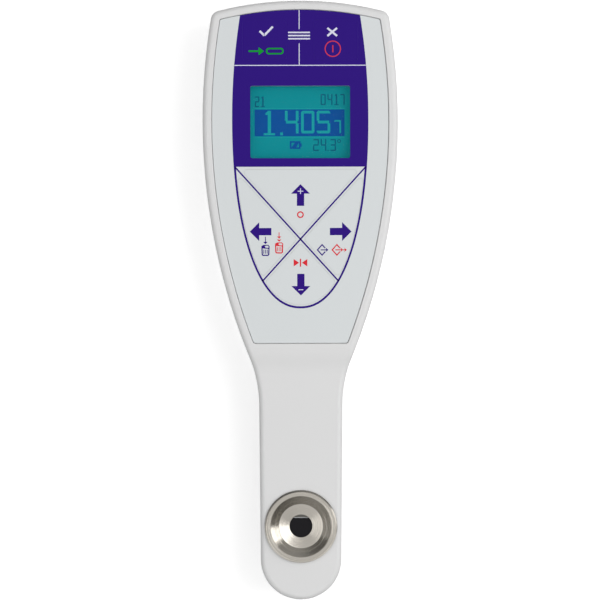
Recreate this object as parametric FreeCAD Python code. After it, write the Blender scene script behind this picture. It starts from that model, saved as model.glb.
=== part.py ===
import FreeCAD
import Part

import os
from math import acos, asin, atan2, cos, hypot, pi, radians, sin, sqrt, tan

from FreeCAD import Vector

# A pocket digital refractometer, lying on its back with the face up.
# Millimetres. X runs across the face, +Y towards the display end, +Z out of the face.
# The origin is under the middle of the whole casing, on the surface that it lies on.

# Casing, seen from the front
body_length = 211.0
head_half_width = 34.4
head_side_radius = 220.0
head_end_radius = 120.0
head_corner_radius = 3.4
widest_from_end = 42.4
neck_half_width = 14.65
neck_blend_radius = 45.0
tail_radius = 14.2

# Casing, seen from the side and from the end
body_height = 29.0
parting_height = 16.5
neck_front_drop = 1.4
neck_front_drop_run = 9.0
neck_back_height = 9.0
back_sweep_from_end = 107.5
back_sweep_run = 46.0
back_end_radius = 20.0
back_end_run = 14.0
back_crown_width = 17.9
back_crown_radius = 22.0
front_edge_round = 1.8

# Walls, seams and fits
wall = 2.2
deck_thickness = 2.1
seam_depth = 0.35
seam_height = 0.5
gasket_width = 0.8
gasket_depth = 0.8
gasket_edge = 0.7
fit_gap = 0.1
slide_gap = 0.05

# Recess for the keypad, and what is in it
rim_width = 3.2
rim_edge_bevel = 0.2
keypad_from_end = 120.7
keypad_low_corner = 1.2
groove_width = 0.2
circuit_thickness = 0.25
spacer_thickness = 0.6
film_thickness = 0.4
film_step = 0.25
tail_width = 8.0
tail_from_edge = 7.7

# Keys
key_travel = 0.3
key_margin = 0.9
key_corner = 1.0
key_side_room = 0.2
arrow_oval_half_width = 23.9
arrow_oval_depth = 66.5
arrow_oval_from_end = 41.5
arrow_oval_power = 2.2
arrow_oval_steps = 7
arrow_cross_from_end = 84.0
arrow_cross_slope = 1.105
arrow_top_from_end = 58.6
up_dome_share = 0.62
down_dome_share = 0.65
side_dome_share = 0.55
side_dome_rise = 2.7
command_key_x = 12.6
command_key_from_end = 14.1
command_key_width = 15.4
command_key_height = 14.2
dome_radius = 4.2
dome_rim = 0.4
dome_sides = 8
dome_sheet = 0.12
dome_slack = 0.02

# Display
window_width = 35.3
window_height = 25.7
window_from_end = 42.8
window_corner = 0.8
lens_lip = 1.6
glass_width = 40.0
glass_height = 33.0
glass_ledge = 3.4
pane_thickness = 1.1
display_gasket_thickness = 0.5
display_gasket_width = 1.2
backlight_thickness = 2.7
holder_wall = 1.5
holder_gap = 0.2
holder_rib = 0.4
connector_width = 2.0
connector_length = 36.0

# Circuit board and what stands on it
board_thickness = 1.6
board_margin = 1.0
board_low_edge_from_end = 119.0
board_notch_gap = 0.5
processor_size = 10.0
processor_height = 1.6
processor_below_display = 12.0
converter_size = 7.0
converter_height = 1.4
converter_below_processor = 14.0
buzzer_radius = 6.0
buzzer_height = 3.0
buzzer_from_end = 23.5
socket_length = 10.0
socket_width = 3.2
socket_height = 1.9
socket_grip = 1.0
socket_slot_gap = 0.1
sensor_socket_width = 6.0
sensor_socket_from_edge = 4.6
ribbon_pitch = 2.6
ribbon_thickness = 0.25
emitter_width = 7.0
emitter_height = 3.6
emitter_depth = 4.0
infrared_width = 12.0
infrared_height = 4.6
infrared_flange = 0.8
infrared_lip = 0.9

# Batteries and their bay
battery_radius = 5.2
battery_length = 43.5
battery_nub_radius = 1.9
battery_nub_length = 1.0
battery_half_pitch = 5.75
battery_lift = 0.4
bay_from_end = 91.5
bay_wall = 1.4
cradle_gap = 0.2
contact_thickness = 0.4
contact_half_width = 4.3
contact_spring_reach = 4.2
contact_spring_width = 4.0
contact_edge = 0.3
contact_tab_width = 2.4

# Battery door with its tongues, gasket and coin screw
door_thickness = 2.0
door_half_width = 14.6
door_screw_end_room = 10.5
door_tongue_end_room = 6.0
door_corner = 3.0
door_gap = 0.25
door_seat_gap = 0.1
door_seat_thickness = 1.8
door_seat_margin = 1.9
door_gasket_width = 1.0
door_gasket_depth = 0.8
door_gasket_margin = 0.6
tongue_x = 8.0
tongue_width = 5.0
tongue_length = 1.8
tongue_thickness = 0.9
tongue_lip_gap = 0.2
tongue_swing_gap = 0.35
tongue_roof = 1.2
door_screw_from_edge = 5.1
door_screw_head_radius = 3.2
door_screw_head_height = 1.15
door_screw_sink = 0.1
door_screw_side_gap = 0.15
door_screw_core_radius = 1.2
door_screw_reach = 3.2
door_thread_depth = 0.4
coin_slot_width = 1.0
coin_slot_depth = 0.7
insert_radius = 2.4
insert_length = 3.5
insert_wall = 1.2

# Casing screws
screw_post_radius = 2.8
screw_well_radius = 2.5
screw_well_wall = 1.3
screw_seat_depth = 5.0
screw_head_radius = 2.2
screw_head_height = 1.7
screw_radius = 1.05
screw_length = 11.0
screw_tip_room = 0.5
socket_drive_radius = 0.9
socket_drive_depth = 1.0
top_screw_x = 23.0
top_screw_from_end = 15.5
middle_screw_x = 17.5
middle_screw_from_end = 103.5
neck_screw_x = 8.0
neck_screw_from_tail = 55.5

# Small screws for the circuit board and the optics block
small_screw_radius = 0.75
small_screw_length = 5.0
small_head_radius = 1.8
small_head_height = 1.3
small_post_radius = 2.2
board_high_post_x = 25.0
board_high_post_from_end = 35.5
board_low_post_x = 21.0
board_low_post_from_end = 83.5

# Measuring cell, set in the tail
cell_from_tail = 25.9
ring_radius = 12.7
ring_edge_bevel = 0.5
ring_body_radius = 10.2
ring_body_length = 5.0
ring_bore_radius = 7.4
ring_seat_drop = 0.65
bowl_radius = 10.8
bowl_floor_radius = 7.8
bowl_floor_drop = 2.5
bowl_hole_drop = 3.3
bowl_floor_thickness = 0.8
window_hole_radius = 4.05
cell_gasket_inner_radius = 11.0
cell_gasket_outer_radius = 12.1
cell_gasket_thickness = 0.55
nut_radius = 11.6
nut_height = 2.0
nut_slot_width = 2.0
nut_slot_depth = 1.0

# Prism
prism_flange_radius = 5.4
prism_flange_height = 0.5
prism_land_height = 0.25
prism_seal_thickness = 0.2
prism_bevel_from_centre = 2.95
prism_bevel_drop = 0.15
prism_length = 8.6
prism_width = 7.0
prism_depth = 4.0
beam_angle = 53.0

# Optics under the cell
block_half_width = 7.4
block_depth = 10.2
block_gap = 0.2
ear_thickness = 2.0
ear_end_margin = 2.6
pocket_gap = 0.15
lens_radius = 2.2
lens_edge = 0.8
lens_bulge = 0.5
lens_distance = 8.5
lens_seat_gap = 0.15
aperture_radius = 1.9
lamp_radius = 1.5
lamp_flange_radius = 1.9
lamp_flange_thickness = 1.0
lamp_length = 5.2
lamp_aperture_radius = 1.0
lamp_board_distance = 12.2
lamp_board_size = 6.0
sensor_distance = 13.5
sensor_length = 8.0
sensor_width = 3.6
sensor_thickness = 1.2
sensor_board_width = 10.0
sensor_board_height = 9.0
small_board_thickness = 1.0
optics_post_x = 5.0
lamp_post_y = 16.5
sensor_post_y = 19.8
thermistor_radius = 0.6
thermistor_length = 2.6
thermistor_x = 5.9
sensor_ribbon_width = 6.0
sensor_ribbon_lift = 1.3
lamp_ribbon_width = 4.0
lamp_ribbon_drop = 0.4
ribbon_bend = 1.2

# Places along Y and heights along Z that follow from the sizes above
end_y = body_length / 2
tail_y = -body_length / 2
widest_y = end_y - widest_from_end
tail_centre_y = tail_y + tail_radius
cell_y = tail_y + cell_from_tail
keypad_low_y = end_y - keypad_from_end
circuit_tail_y = keypad_low_y + tail_from_edge
window_y = end_y - window_from_end
oval_y = end_y - arrow_oval_from_end
arrow_cross_y = end_y - arrow_cross_from_end
arrow_top_y = end_y - arrow_top_from_end
command_key_y = end_y - command_key_from_end
board_low_y = end_y - board_low_edge_from_end
sensor_socket_y = board_low_y + sensor_socket_from_edge
bay_low_y = end_y - bay_from_end
cell_stack_length = battery_length + battery_nub_length + contact_spring_reach
bay_high_y = bay_low_y + cell_stack_length + 2 * contact_thickness
door_low_y = bay_low_y - door_screw_end_room
door_high_y = bay_high_y + door_tongue_end_room
door_screw_y = door_low_y + door_screw_from_edge

neck_front_z = body_height - neck_front_drop
film_top_z = body_height - film_step
film_low_z = film_top_z - film_thickness
circuit_top_z = film_low_z - spacer_thickness
recess_z = circuit_top_z - circuit_thickness
cavity_top_z = recess_z - deck_thickness
glass_top_z = cavity_top_z - display_gasket_thickness
pane_middle_z = glass_top_z - pane_thickness
glass_low_z = pane_middle_z - pane_thickness
board_top_z = glass_low_z - backlight_thickness
board_low_z = board_top_z - board_thickness
door_seat_z = door_thickness + door_seat_gap
battery_z = door_thickness + battery_lift + battery_radius
cradle_radius = battery_radius + cradle_gap
bay_half_width = battery_half_pitch + cradle_radius
screw_seat_z = parting_height - screw_seat_depth
bowl_hole_z = body_height - bowl_hole_drop
seal_top_z = bowl_hole_z - bowl_floor_thickness
flange_top_z = seal_top_z - prism_seal_thickness
flange_low_z = flange_top_z - prism_flange_height
prism_top_z = flange_top_z + prism_land_height
ring_low_z = neck_front_z - ring_body_length
ring_seat_z = neck_front_z - ring_seat_drop
block_top_z = ring_low_z - block_gap
block_low_z = block_top_z - block_depth
ear_low_z = block_top_z - ear_thickness
neck_floor_z = neck_back_height + wall

casing_screw_places = [
    (sign * x, y)
    for x, y in (
        (top_screw_x, end_y - top_screw_from_end),
        (middle_screw_x, end_y - middle_screw_from_end),
        (neck_screw_x, tail_y + neck_screw_from_tail),
    )
    for sign in (-1, 1)
]
board_post_places = [
    (sign * x, end_y - from_end)
    for x, from_end in (
        (board_high_post_x, board_high_post_from_end),
        (board_low_post_x, board_low_post_from_end),
    )
    for sign in (-1, 1)
]
optics_post_places = [
    (sign * optics_post_x, cell_y + offset)
    for offset in (-lamp_post_y, sensor_post_y)
    for sign in (-1, 1)
]
up_dome_y = arrow_cross_y + up_dome_share * (arrow_top_y - arrow_cross_y)
down_dome_y = arrow_cross_y + down_dome_share * (oval_y - arrow_oval_depth - arrow_cross_y)
side_dome_x = side_dome_share * arrow_oval_half_width
dome_places = {
    "key_ok": (-command_key_x, command_key_y),
    "key_esc": (command_key_x, command_key_y),
    "key_up": (0, up_dome_y),
    "key_left": (-side_dome_x, arrow_cross_y + side_dome_rise),
    "key_right": (side_dome_x, arrow_cross_y + side_dome_rise),
    "key_down": (0, down_dome_y),
}

BEYOND = 5.0
PAST = 1.0
WIDE = body_length


def box(low, high):
    """A box between two corners."""
    size = high - low
    return Part.makeBox(size.x, size.y, size.z, low)


def rod(x, y, z_low, z_high, radius):
    """An upright round rod."""
    return Part.makeCylinder(radius, z_high - z_low, Vector(x, y, z_low))


def tube(x, y, z_low, z_high, outer, inner):
    """An upright round tube."""
    return rod(x, y, z_low, z_high, outer).cut(rod(x, y, z_low - BEYOND, z_high + BEYOND, inner))


def upright_edges(solid):
    """The straight edges that run along Z."""
    found = []
    for edge in solid.Edges:
        first = edge.Vertexes[0].Point
        last = edge.Vertexes[-1].Point
        if hypot(first.x - last.x, first.y - last.y) < 1e-6 and abs(first.z - last.z) > 1e-6:
            found.append(edge)
    return found


def round_upright(solid, radius):
    """Rounds the upright corners of a plate."""
    return solid.makeFillet(radius, upright_edges(solid))


def plate(x, y, z_low, z_high, width, height, corner=0.0):
    """A rectangular plate centred on x and y, with round corners if asked."""
    low = Vector(x - width / 2, y - height / 2, z_low)
    high = Vector(x + width / 2, y + height / 2, z_high)
    solid = box(low, high)
    return round_upright(solid, corner) if corner > 0 else solid


def prism_of(edges, z_low, z_high):
    """The solid over a closed outline drawn at height zero."""
    face = Part.Face(Part.Wire(edges))
    face.translate(Vector(0, 0, z_low))
    return face.extrude(Vector(0, 0, z_high - z_low))


def arc(centre, radius, start, middle, end):
    """An arc about a centre at height zero, through three directions in radians."""
    points = [
        Vector(centre.x + radius * cos(a), centre.y + radius * sin(a), 0)
        for a in (start, middle, end)
    ]
    return Part.Arc(*points).toShape()


def line(first, last):
    """A straight edge."""
    return Part.LineSegment(first, last).toShape()


def circle_crossing(first, first_radius, second, second_radius, upper):
    """Where two circles cross, on the +X side if they cross left and right of each other."""
    across = second - first
    gap = across.Length
    along = (first_radius**2 - second_radius**2 + gap**2) / (2 * gap)
    aside = sqrt(max(first_radius**2 - along**2, 0.0))
    unit = across / gap
    turned = Vector(-unit.y, unit.x, 0)
    if (turned.y > 0) != upper:
        turned = -turned
    return first + unit * along + turned * aside


def side_circle_centre():
    """The centre of the long arc down the +X side of the head."""
    return Vector(head_half_width - head_side_radius, widest_y, 0)


def end_circle_centre():
    """The centre of the arc over the display end."""
    return Vector(0, end_y - head_end_radius, 0)


def blend_circle_centre():
    """The centre of the hollow arc between head and neck, on the +X side."""
    side = side_circle_centre()
    x = neck_half_width + neck_blend_radius
    reach = head_side_radius + neck_blend_radius
    return Vector(x, side.y - sqrt(reach**2 - (x - side.x) ** 2), 0)


def casing_edges(inset):
    """The outline of the casing seen from the front, drawn in by inset all round."""
    end_radius = head_end_radius - inset
    side_radius = head_side_radius - inset
    corner_radius = max(head_corner_radius - inset, head_corner_radius / 4)
    hollow_radius = neck_blend_radius + inset
    round_radius = tail_radius - inset
    end_centre = end_circle_centre()
    side = side_circle_centre()
    blend = blend_circle_centre()
    tail = Vector(0, tail_centre_y, 0)
    corner = circle_crossing(
        end_centre, end_radius - corner_radius, side, side_radius - corner_radius, True
    )
    over = atan2(corner.y - end_centre.y, corner.x - end_centre.x)
    beside = atan2(corner.y - side.y, corner.x - side.x)
    down = atan2(blend.y - side.y, blend.x - side.x)
    apart = blend - tail
    lean = atan2(apart.y, apart.x) - acos((hollow_radius + round_radius) / apart.Length)
    neck_high = blend - Vector(cos(lean), sin(lean), 0) * hollow_radius
    neck_low = tail + Vector(cos(lean), sin(lean), 0) * round_radius
    right = [
        arc(corner, corner_radius, over, (over + beside) / 2, beside),
        arc(side, side_radius, beside, (beside + down) / 2, down),
        arc(blend, hollow_radius, pi + down, pi + (down + lean) / 2, pi + lean),
        line(neck_high, neck_low),
    ]
    left = [edge.mirror(Vector(0, 0, 0), Vector(1, 0, 0)) for edge in right]
    over_top = arc(end_centre, end_radius, pi - over, pi / 2, over)
    under_tail = arc(tail, round_radius, lean, -pi / 2, -pi - lean)
    return Part.__sortEdges__([over_top] + right + [under_tail] + left)


def casing_plate(inset, z_low, z_high):
    """A plate with the casing's outline, drawn in by inset."""
    return prism_of(casing_edges(inset), z_low, z_high)


def ogee(start, end):
    """Two equal arcs that join two level lines smoothly, drawn in Y and Z."""
    run = end.y - start.y
    rise = end.z - start.z
    middle = (start + end) / 2
    radius = (run**2 + rise**2) / (4 * abs(rise))
    half_angle = asin(abs(run) / 2 / radius) / 2
    bow = Vector(0, (1 if run > 0 else -1) * radius * sin(half_angle), 0)
    lift = Vector(0, 0, (1 if rise > 0 else -1) * radius * (1 - cos(half_angle)))
    first = Part.Arc(start, start + bow + lift, middle).toShape()
    second = Part.Arc(middle, end - bow - lift, end).toShape()
    return [first, second]


def side_form(inset, top_inset):
    """The casing's form seen from the side, as a solid wider than the casing."""
    beyond = 4 * BEYOND
    sweep_y = end_y - back_sweep_from_end
    drop_y = keypad_low_y - rim_width / 2
    low_z = inset
    high_z = body_height - top_inset
    neck_low_z = neck_back_height + inset
    neck_high_z = neck_front_z - top_inset
    rounding_y = end_y - back_end_run
    rounding_radius = back_end_radius - inset
    turn = asin(min((back_end_run + PAST) / rounding_radius, 0.98))
    rounding_centre = Vector(0, rounding_y, back_end_radius)

    def on_rounding(angle):
        return rounding_centre + Vector(0, sin(angle), -cos(angle)) * rounding_radius

    back_end = on_rounding(turn)
    top_end = Vector(0, back_end.y, high_z)
    drop_start = Vector(0, drop_y, high_z)
    drop_end = Vector(0, drop_y - neck_front_drop_run, neck_high_z)
    tail_high = Vector(0, tail_y - beyond, neck_high_z)
    tail_low = Vector(0, tail_y - beyond, neck_low_z)
    sweep_end = Vector(0, sweep_y - back_sweep_run, neck_low_z)
    sweep_start = Vector(0, sweep_y, low_z)
    edges = [
        Part.Arc(on_rounding(0), on_rounding(turn / 2), back_end).toShape(),
        line(back_end, top_end),
        line(top_end, drop_start),
        *ogee(drop_start, drop_end),
        line(drop_end, tail_high),
        line(tail_high, tail_low),
        line(tail_low, sweep_end),
        *ogee(sweep_end, sweep_start),
        line(sweep_start, on_rounding(0)),
    ]
    face = Part.Face(Part.Wire(edges))
    face.translate(Vector(-head_half_width - beyond, 0, 0))
    return face.extrude(Vector(2 * (head_half_width + beyond), 0, 0))


def crown_form(inset):
    """The casing's form seen from the end, with its rounded back."""
    radius = back_crown_radius - inset
    flat = head_half_width - back_crown_width
    high = body_height + BEYOND

    def corner(sign):
        centre = Vector(sign * flat, 0, back_crown_radius)
        low = centre + Vector(0, 0, -radius)
        middle = centre + Vector(sign * sin(pi / 4), 0, -cos(pi / 4)) * radius
        side = centre + Vector(sign * radius, 0, 0)
        return low, middle, side

    left_low, left_middle, left_side = corner(-1)
    right_low, right_middle, right_side = corner(1)
    left_high = Vector(left_side.x, 0, high)
    right_high = Vector(right_side.x, 0, high)
    edges = [
        line(left_low, right_low),
        Part.Arc(right_low, right_middle, right_side).toShape(),
        line(right_side, right_high),
        line(right_high, left_high),
        line(left_high, left_side),
        Part.Arc(left_side, left_middle, left_low).toShape(),
    ]
    face = Part.Face(Part.Wire(edges))
    face.translate(Vector(0, tail_y - BEYOND, 0))
    return face.extrude(Vector(0, body_length + 2 * BEYOND, 0))


def casing_form(inset, top_inset):
    """The whole casing as one solid, drawn in by inset, with sharp edges."""
    column = casing_plate(inset, -BEYOND, body_height + BEYOND)
    return column.common(side_form(inset, top_inset)).common(crown_form(inset))


def joined(solids):
    """One solid from several that touch or overlap."""
    solids = list(solids)
    return solids[0].fuse(solids[1:]).removeSplitter()


def group(solids):
    """Several separate solids kept as one piece of the assembly."""
    return Part.makeCompound(list(solids))


def crosses_casing(edge):
    """Whether an edge is a straight line across the casing, where two smooth faces meet."""
    ends = [vertex.Point for vertex in edge.Vertexes]
    return edge.Curve.TypeId == "Part::GeomLine" and abs(ends[0].x) > 0 and abs(ends[0].y - ends[-1].y) < 1e-6


def beside_wall(solid, edge):
    """Whether exactly one of the faces at an edge stands upright."""
    upright = 0
    for face in solid.ancestorsOfType(edge, Part.Face):
        low_u, high_u, low_v, high_v = face.ParameterRange
        normal = face.normalAt((low_u + high_u) / 2, (low_v + high_v) / 2)
        upright += abs(normal.z) < 1e-6
    return upright == 1


def rim_edges(solid, z_low, z_high):
    """The edges between two heights where a level or sloping face meets the side wall."""
    found = []
    for edge in solid.Edges:
        heights = [vertex.Point.z for vertex in edge.Vertexes]
        level = z_low < min(heights) and max(heights) < z_high
        if level and not crosses_casing(edge) and beside_wall(solid, edge):
            found.append(edge)
    return found


def above(z):
    """All space above a height."""
    return box(Vector(-WIDE, -WIDE, z), Vector(WIDE, WIDE, WIDE))


def below(z):
    """All space below a height."""
    return box(Vector(-WIDE, -WIDE, -WIDE), Vector(WIDE, WIDE, z))


def beyond_y(y):
    """All space on the display side of a line across the casing."""
    return box(Vector(-WIDE, y, -WIDE), Vector(WIDE, WIDE, WIDE))


def keypad_plate(inset, z_low, z_high):
    """A plate in the shape of the keypad's recess, drawn in by inset."""
    low_y = keypad_low_y + inset
    solid = casing_plate(rim_width + inset, z_low, z_high).common(beyond_y(low_y))
    corners = [edge for edge in upright_edges(solid) if abs(edge.CenterOfMass.y - low_y) < 1e-3]
    return solid.makeFillet(max(keypad_low_corner - inset, keypad_low_corner / 2), corners)


def window_plate(grow, z_low, z_high):
    """A plate in the shape of the display's window, larger by grow all round."""
    width = window_width + 2 * grow
    height = window_height + 2 * grow
    return plate(0, window_y, z_low, z_high, width, height, window_corner + max(grow, 0))


def oval_edges(inset):
    """The printed oval round the arrow keys, drawn in by inset and closed across its top."""
    half_width = arrow_oval_half_width - inset
    depth = arrow_oval_depth - inset
    power = 2 / arrow_oval_power
    side = []
    for step in range(arrow_oval_steps + 1):
        turn = pi / 2 * step / arrow_oval_steps
        side.append(Vector(half_width * cos(turn) ** power, oval_y - depth * sin(turn) ** power, 0))
    mirrored = [Vector(-point.x, point.y, 0) for point in reversed(side[:-1])]
    curve = Part.BSplineCurve()
    curve.interpolate(side + mirrored)
    return [curve.toShape(), line(mirrored[-1], side[0])]


def wedge(direction, inset, z_low, z_high):
    """The quarter between the cross lines that faces a direction, drawn in by inset."""
    lean = atan2(arrow_cross_slope, 1)
    half_angle = pi / 2 - lean if direction.x == 0 else lean
    across = Vector(-direction.y, direction.x, 0)
    tip = Vector(0, arrow_cross_y, 0) + direction * (inset / sin(half_angle))
    along = direction * (2 * body_length * cos(half_angle))
    aside = across * (2 * body_length * sin(half_angle))
    corners = [tip, tip + along - aside, tip + along + aside]
    edges = [line(corners[k], corners[(k + 1) % 3]) for k in range(3)]
    return prism_of(edges, z_low, z_high)


def arrow_key(direction, grow, z_low, z_high):
    """One arrow key: a quarter of the oval, larger by grow all round."""
    inset = key_margin - grow
    oval = prism_of(oval_edges(inset), z_low, z_high)
    top = box(Vector(-WIDE, -WIDE, -WIDE), Vector(WIDE, arrow_top_y - inset, WIDE))
    solid = oval.common(wedge(direction, inset, z_low, z_high)).common(top)
    return round_upright(solid, key_corner + grow)


def command_key(sign, grow, z_low, z_high):
    """One of the two keys in the coloured field, larger by grow all round."""
    width = command_key_width + 2 * grow
    height = command_key_height + 2 * grow
    return plate(sign * command_key_x, command_key_y, z_low, z_high, width, height, key_corner + grow)


def key_pads(grow, z_low, z_high):
    """All six keys by name, each larger by grow all round."""
    arrows = {"key_up": (0, 1), "key_left": (-1, 0), "key_right": (1, 0), "key_down": (0, -1)}
    pads = {
        "key_ok": command_key(-1, grow, z_low, z_high),
        "key_esc": command_key(1, grow, z_low, z_high),
    }
    for name, (x, y) in arrows.items():
        pads[name] = arrow_key(Vector(x, y, 0), grow, z_low, z_high)
    return pads


def without(solid, tools):
    """A solid with several others cut away."""
    return solid.cut(list(tools))


def many_sided(x, y, count, radius, z_low, z_high):
    """An upright solid whose outline has a number of equal straight sides."""
    turns = [2 * pi * k / count for k in range(count)]
    corners = [Vector(x + radius * cos(turn), y + radius * sin(turn), 0) for turn in turns]
    sides = [line(corners[k], corners[(k + 1) % count]) for k in range(count)]
    return prism_of(sides, z_low, z_high)


def screw(x, y, seat_z, sizes):
    """A screw driven upwards, with its head below the seat."""
    head_radius, head_height, radius, length = sizes
    head = rod(x, y, seat_z - head_height, seat_z, head_radius)
    shank = rod(x, y, seat_z, seat_z + length, radius)
    return joined([head, shank])


casing_screw_sizes = (screw_head_radius, screw_head_height, screw_radius, screw_length)
small_screw_sizes = (small_head_radius, small_head_height, small_screw_radius, small_screw_length)


def slanted(solid, side):
    """Moves a solid drawn about the upright axis onto a beam, aimed at the spot on the prism.

    The solid is drawn with the prism's spot at the origin and distance from it along -Z.
    """
    placed = solid.copy()
    placed.rotate(Vector(0, 0, 0), Vector(1, 0, 0), side * beam_angle)
    placed.translate(Vector(0, cell_y, prism_top_z))
    return placed


def beam_rod(side, near, far, radius):
    """A round rod along a beam between two distances from the spot."""
    return slanted(rod(0, 0, -far, -near, radius), side)


def beam_box(side, near, far, width, height):
    """A block across a beam between two distances from the spot."""
    return slanted(plate(0, 0, -far, -near, width, height), side)


LAMP_SIDE = -1
SENSOR_SIDE = 1


def front_posts():
    """The posts under the front that all screws bite into, and the pilot holes in them."""
    root_z = cavity_top_z + deck_thickness / 2
    rows = [(casing_screw_places, parting_height, screw_seat_z, casing_screw_sizes, screw_post_radius),
            (board_post_places, board_top_z, board_low_z, small_screw_sizes, small_post_radius),
            (optics_post_places, block_top_z, ear_low_z, small_screw_sizes, small_post_radius)]
    posts = []
    holes = []
    for places, foot_z, seat_z, sizes, post_radius in rows:
        radius, length = sizes[2:]
        for x, y in places:
            posts.append(rod(x, y, foot_z, root_z, post_radius))
            holes.append(rod(x, y, 0, seat_z + length + screw_tip_room, radius + slide_gap))
    return posts, holes


def infrared_hole(grow):
    """The block of space that the infrared window fills in the wall at the display end."""
    middle_z = board_top_z + emitter_height / 2
    width = infrared_width + 2 * grow
    height = infrared_height + 2 * grow
    low = Vector(-width / 2, end_y - 3 * wall, middle_z - height / 2)
    return box(low, Vector(width / 2, end_y + wall, middle_z + height / 2))


def tail_slot():
    """The slot in the deck that the keypad's tail passes through."""
    room = 2 * ribbon_pitch / 3
    low = Vector(-tail_width / 2 - fit_gap, circuit_tail_y - room / 2, cavity_top_z - PAST)
    return box(low, Vector(tail_width / 2 + fit_gap, circuit_tail_y + room / 2, recess_z + PAST))


def cell_bore():
    """The stepped hole in the tail for the measuring cell's ring and gasket."""
    bore = rod(0, cell_y, cavity_top_z - BEYOND, body_height + BEYOND, ring_body_radius + fit_gap)
    seat = rod(0, cell_y, ring_seat_z, body_height + BEYOND, ring_radius + fit_gap)
    groove_z = ring_seat_z - cell_gasket_thickness
    groove = rod(0, cell_y, groove_z, body_height, cell_gasket_outer_radius)
    ledge = rod(0, cell_y, 0, ring_seat_z, cell_gasket_inner_radius)
    return bore, seat, groove.cut(ledge)


def make_front_shell():
    """The front half of the casing: a moulded shell with the keypad's recess in its face."""
    form = casing_form(0, 0).common(above(parting_height))
    form = form.makeFillet(front_edge_round, rim_edges(form, neck_front_z - PAST, body_height + PAST))
    form = form.cut(keypad_plate(0, recess_z, body_height + BEYOND))
    lip = [
        edge
        for edge in form.Edges
        if min(vertex.Point.z for vertex in edge.Vertexes) > body_height - 1e-6
        and beside_wall(form, edge)
    ]
    form = form.makeChamfer(rim_edge_bevel, lip)
    form = form.cut(casing_plate(wall, 0, cavity_top_z))
    posts, pilot_holes = front_posts()
    form = form.fuse(posts)
    opening = window_plate(0, cavity_top_z - PAST, body_height)
    return without(form, [opening, tail_slot(), infrared_hole(0), *cell_bore(), *pilot_holes])


def screw_wells():
    """Solid towers and the stepped holes in them, for the casing screws."""
    towers = []
    holes = []
    for x, y in casing_screw_places:
        towers.append(rod(x, y, 0, parting_height, screw_well_radius + screw_well_wall))
        holes.append(rod(x, y, -BEYOND, screw_seat_z, screw_well_radius))
        holes.append(rod(x, y, 0, parting_height + PAST, screw_radius + 3 * slide_gap))
    return towers, holes


def lying_rod(x, z, y_low, y_high, radius):
    """A round rod along Y."""
    return Part.makeCylinder(radius, y_high - y_low, Vector(x, y_low, z), Vector(0, 1, 0))


def bay_form(grow, y_low, y_high, z_low):
    """Two battery cradles side by side, larger by grow, open or solid down to a height."""
    radius = cradle_radius + grow
    half = bay_half_width + grow
    cradles = [
        lying_rod(sign * battery_half_pitch, battery_z, y_low, y_high, radius) for sign in (-1, 1)
    ]
    return joined(cradles + [box(Vector(-half, y_low, z_low), Vector(half, y_high, battery_z))])


def contact_room(y_low, y_high, gap):
    """The room at one end of the bay for its contact plates."""
    half = battery_half_pitch + contact_half_width + gap
    high = battery_z + contact_spring_reach + contact_edge + gap
    return box(Vector(-half, y_low, door_seat_z), Vector(half, y_high, high))


def door_plate(grow, z_low, z_high):
    """A plate in the shape of the battery door, larger by grow all round."""
    middle = (door_low_y + door_high_y) / 2
    length = door_high_y - door_low_y + 2 * grow
    return plate(0, middle, z_low, z_high, 2 * (door_half_width + grow), length, door_corner + grow)


def door_tongues():
    """The door's two tongues, which run back into the door by their own length."""
    low_z = door_thickness - tongue_thickness
    return [
        plate(sign * tongue_x, door_high_y, low_z, door_thickness, tongue_width, 2 * tongue_length)
        for sign in (-1, 1)
    ]


def tongue_swing():
    """The room that each tongue sweeps as the door swings about its outer edge."""
    radius = hypot(tongue_length, door_thickness) + tongue_swing_gap
    lip_z = door_thickness - tongue_thickness - tongue_lip_gap
    rooms = []
    for sign in (-1, 1):
        half = tongue_width / 2 + door_gap
        start = Vector(sign * tongue_x - half, door_high_y, 0)
        room = Part.makeCylinder(radius, 2 * half, start, Vector(1, 0, 0))
        rooms.append(room.common(above(lip_z)))
    return rooms, radius


def door_frame():
    """The thick seat round the battery opening, with the housing for the tongues."""
    rooms, radius = tongue_swing()
    seat = door_plate(door_gap + door_seat_margin, 0, door_seat_z + door_seat_thickness)
    half = tongue_x + tongue_width / 2 + door_gap + bay_wall
    high = Vector(half, door_high_y + radius + bay_wall, radius + tongue_roof)
    housing = box(Vector(-half, door_high_y - radius - bay_wall, 0), high)
    boss = rod(0, door_screw_y, 0, insert_top_z() + insert_wall, insert_radius + insert_wall)
    return [seat, housing, boss], rooms


def insert_top_z():
    """The height of the upper face of the threaded insert for the door's screw."""
    return door_seat_z + fit_gap + insert_length


def gasket_ring(inset_low, inset_high, z_low, z_high):
    """A ring that follows the casing's outline between two insets."""
    return casing_plate(inset_low, z_low, z_high).cut(casing_plate(inset_high, z_low - PAST, z_high + PAST))


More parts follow.
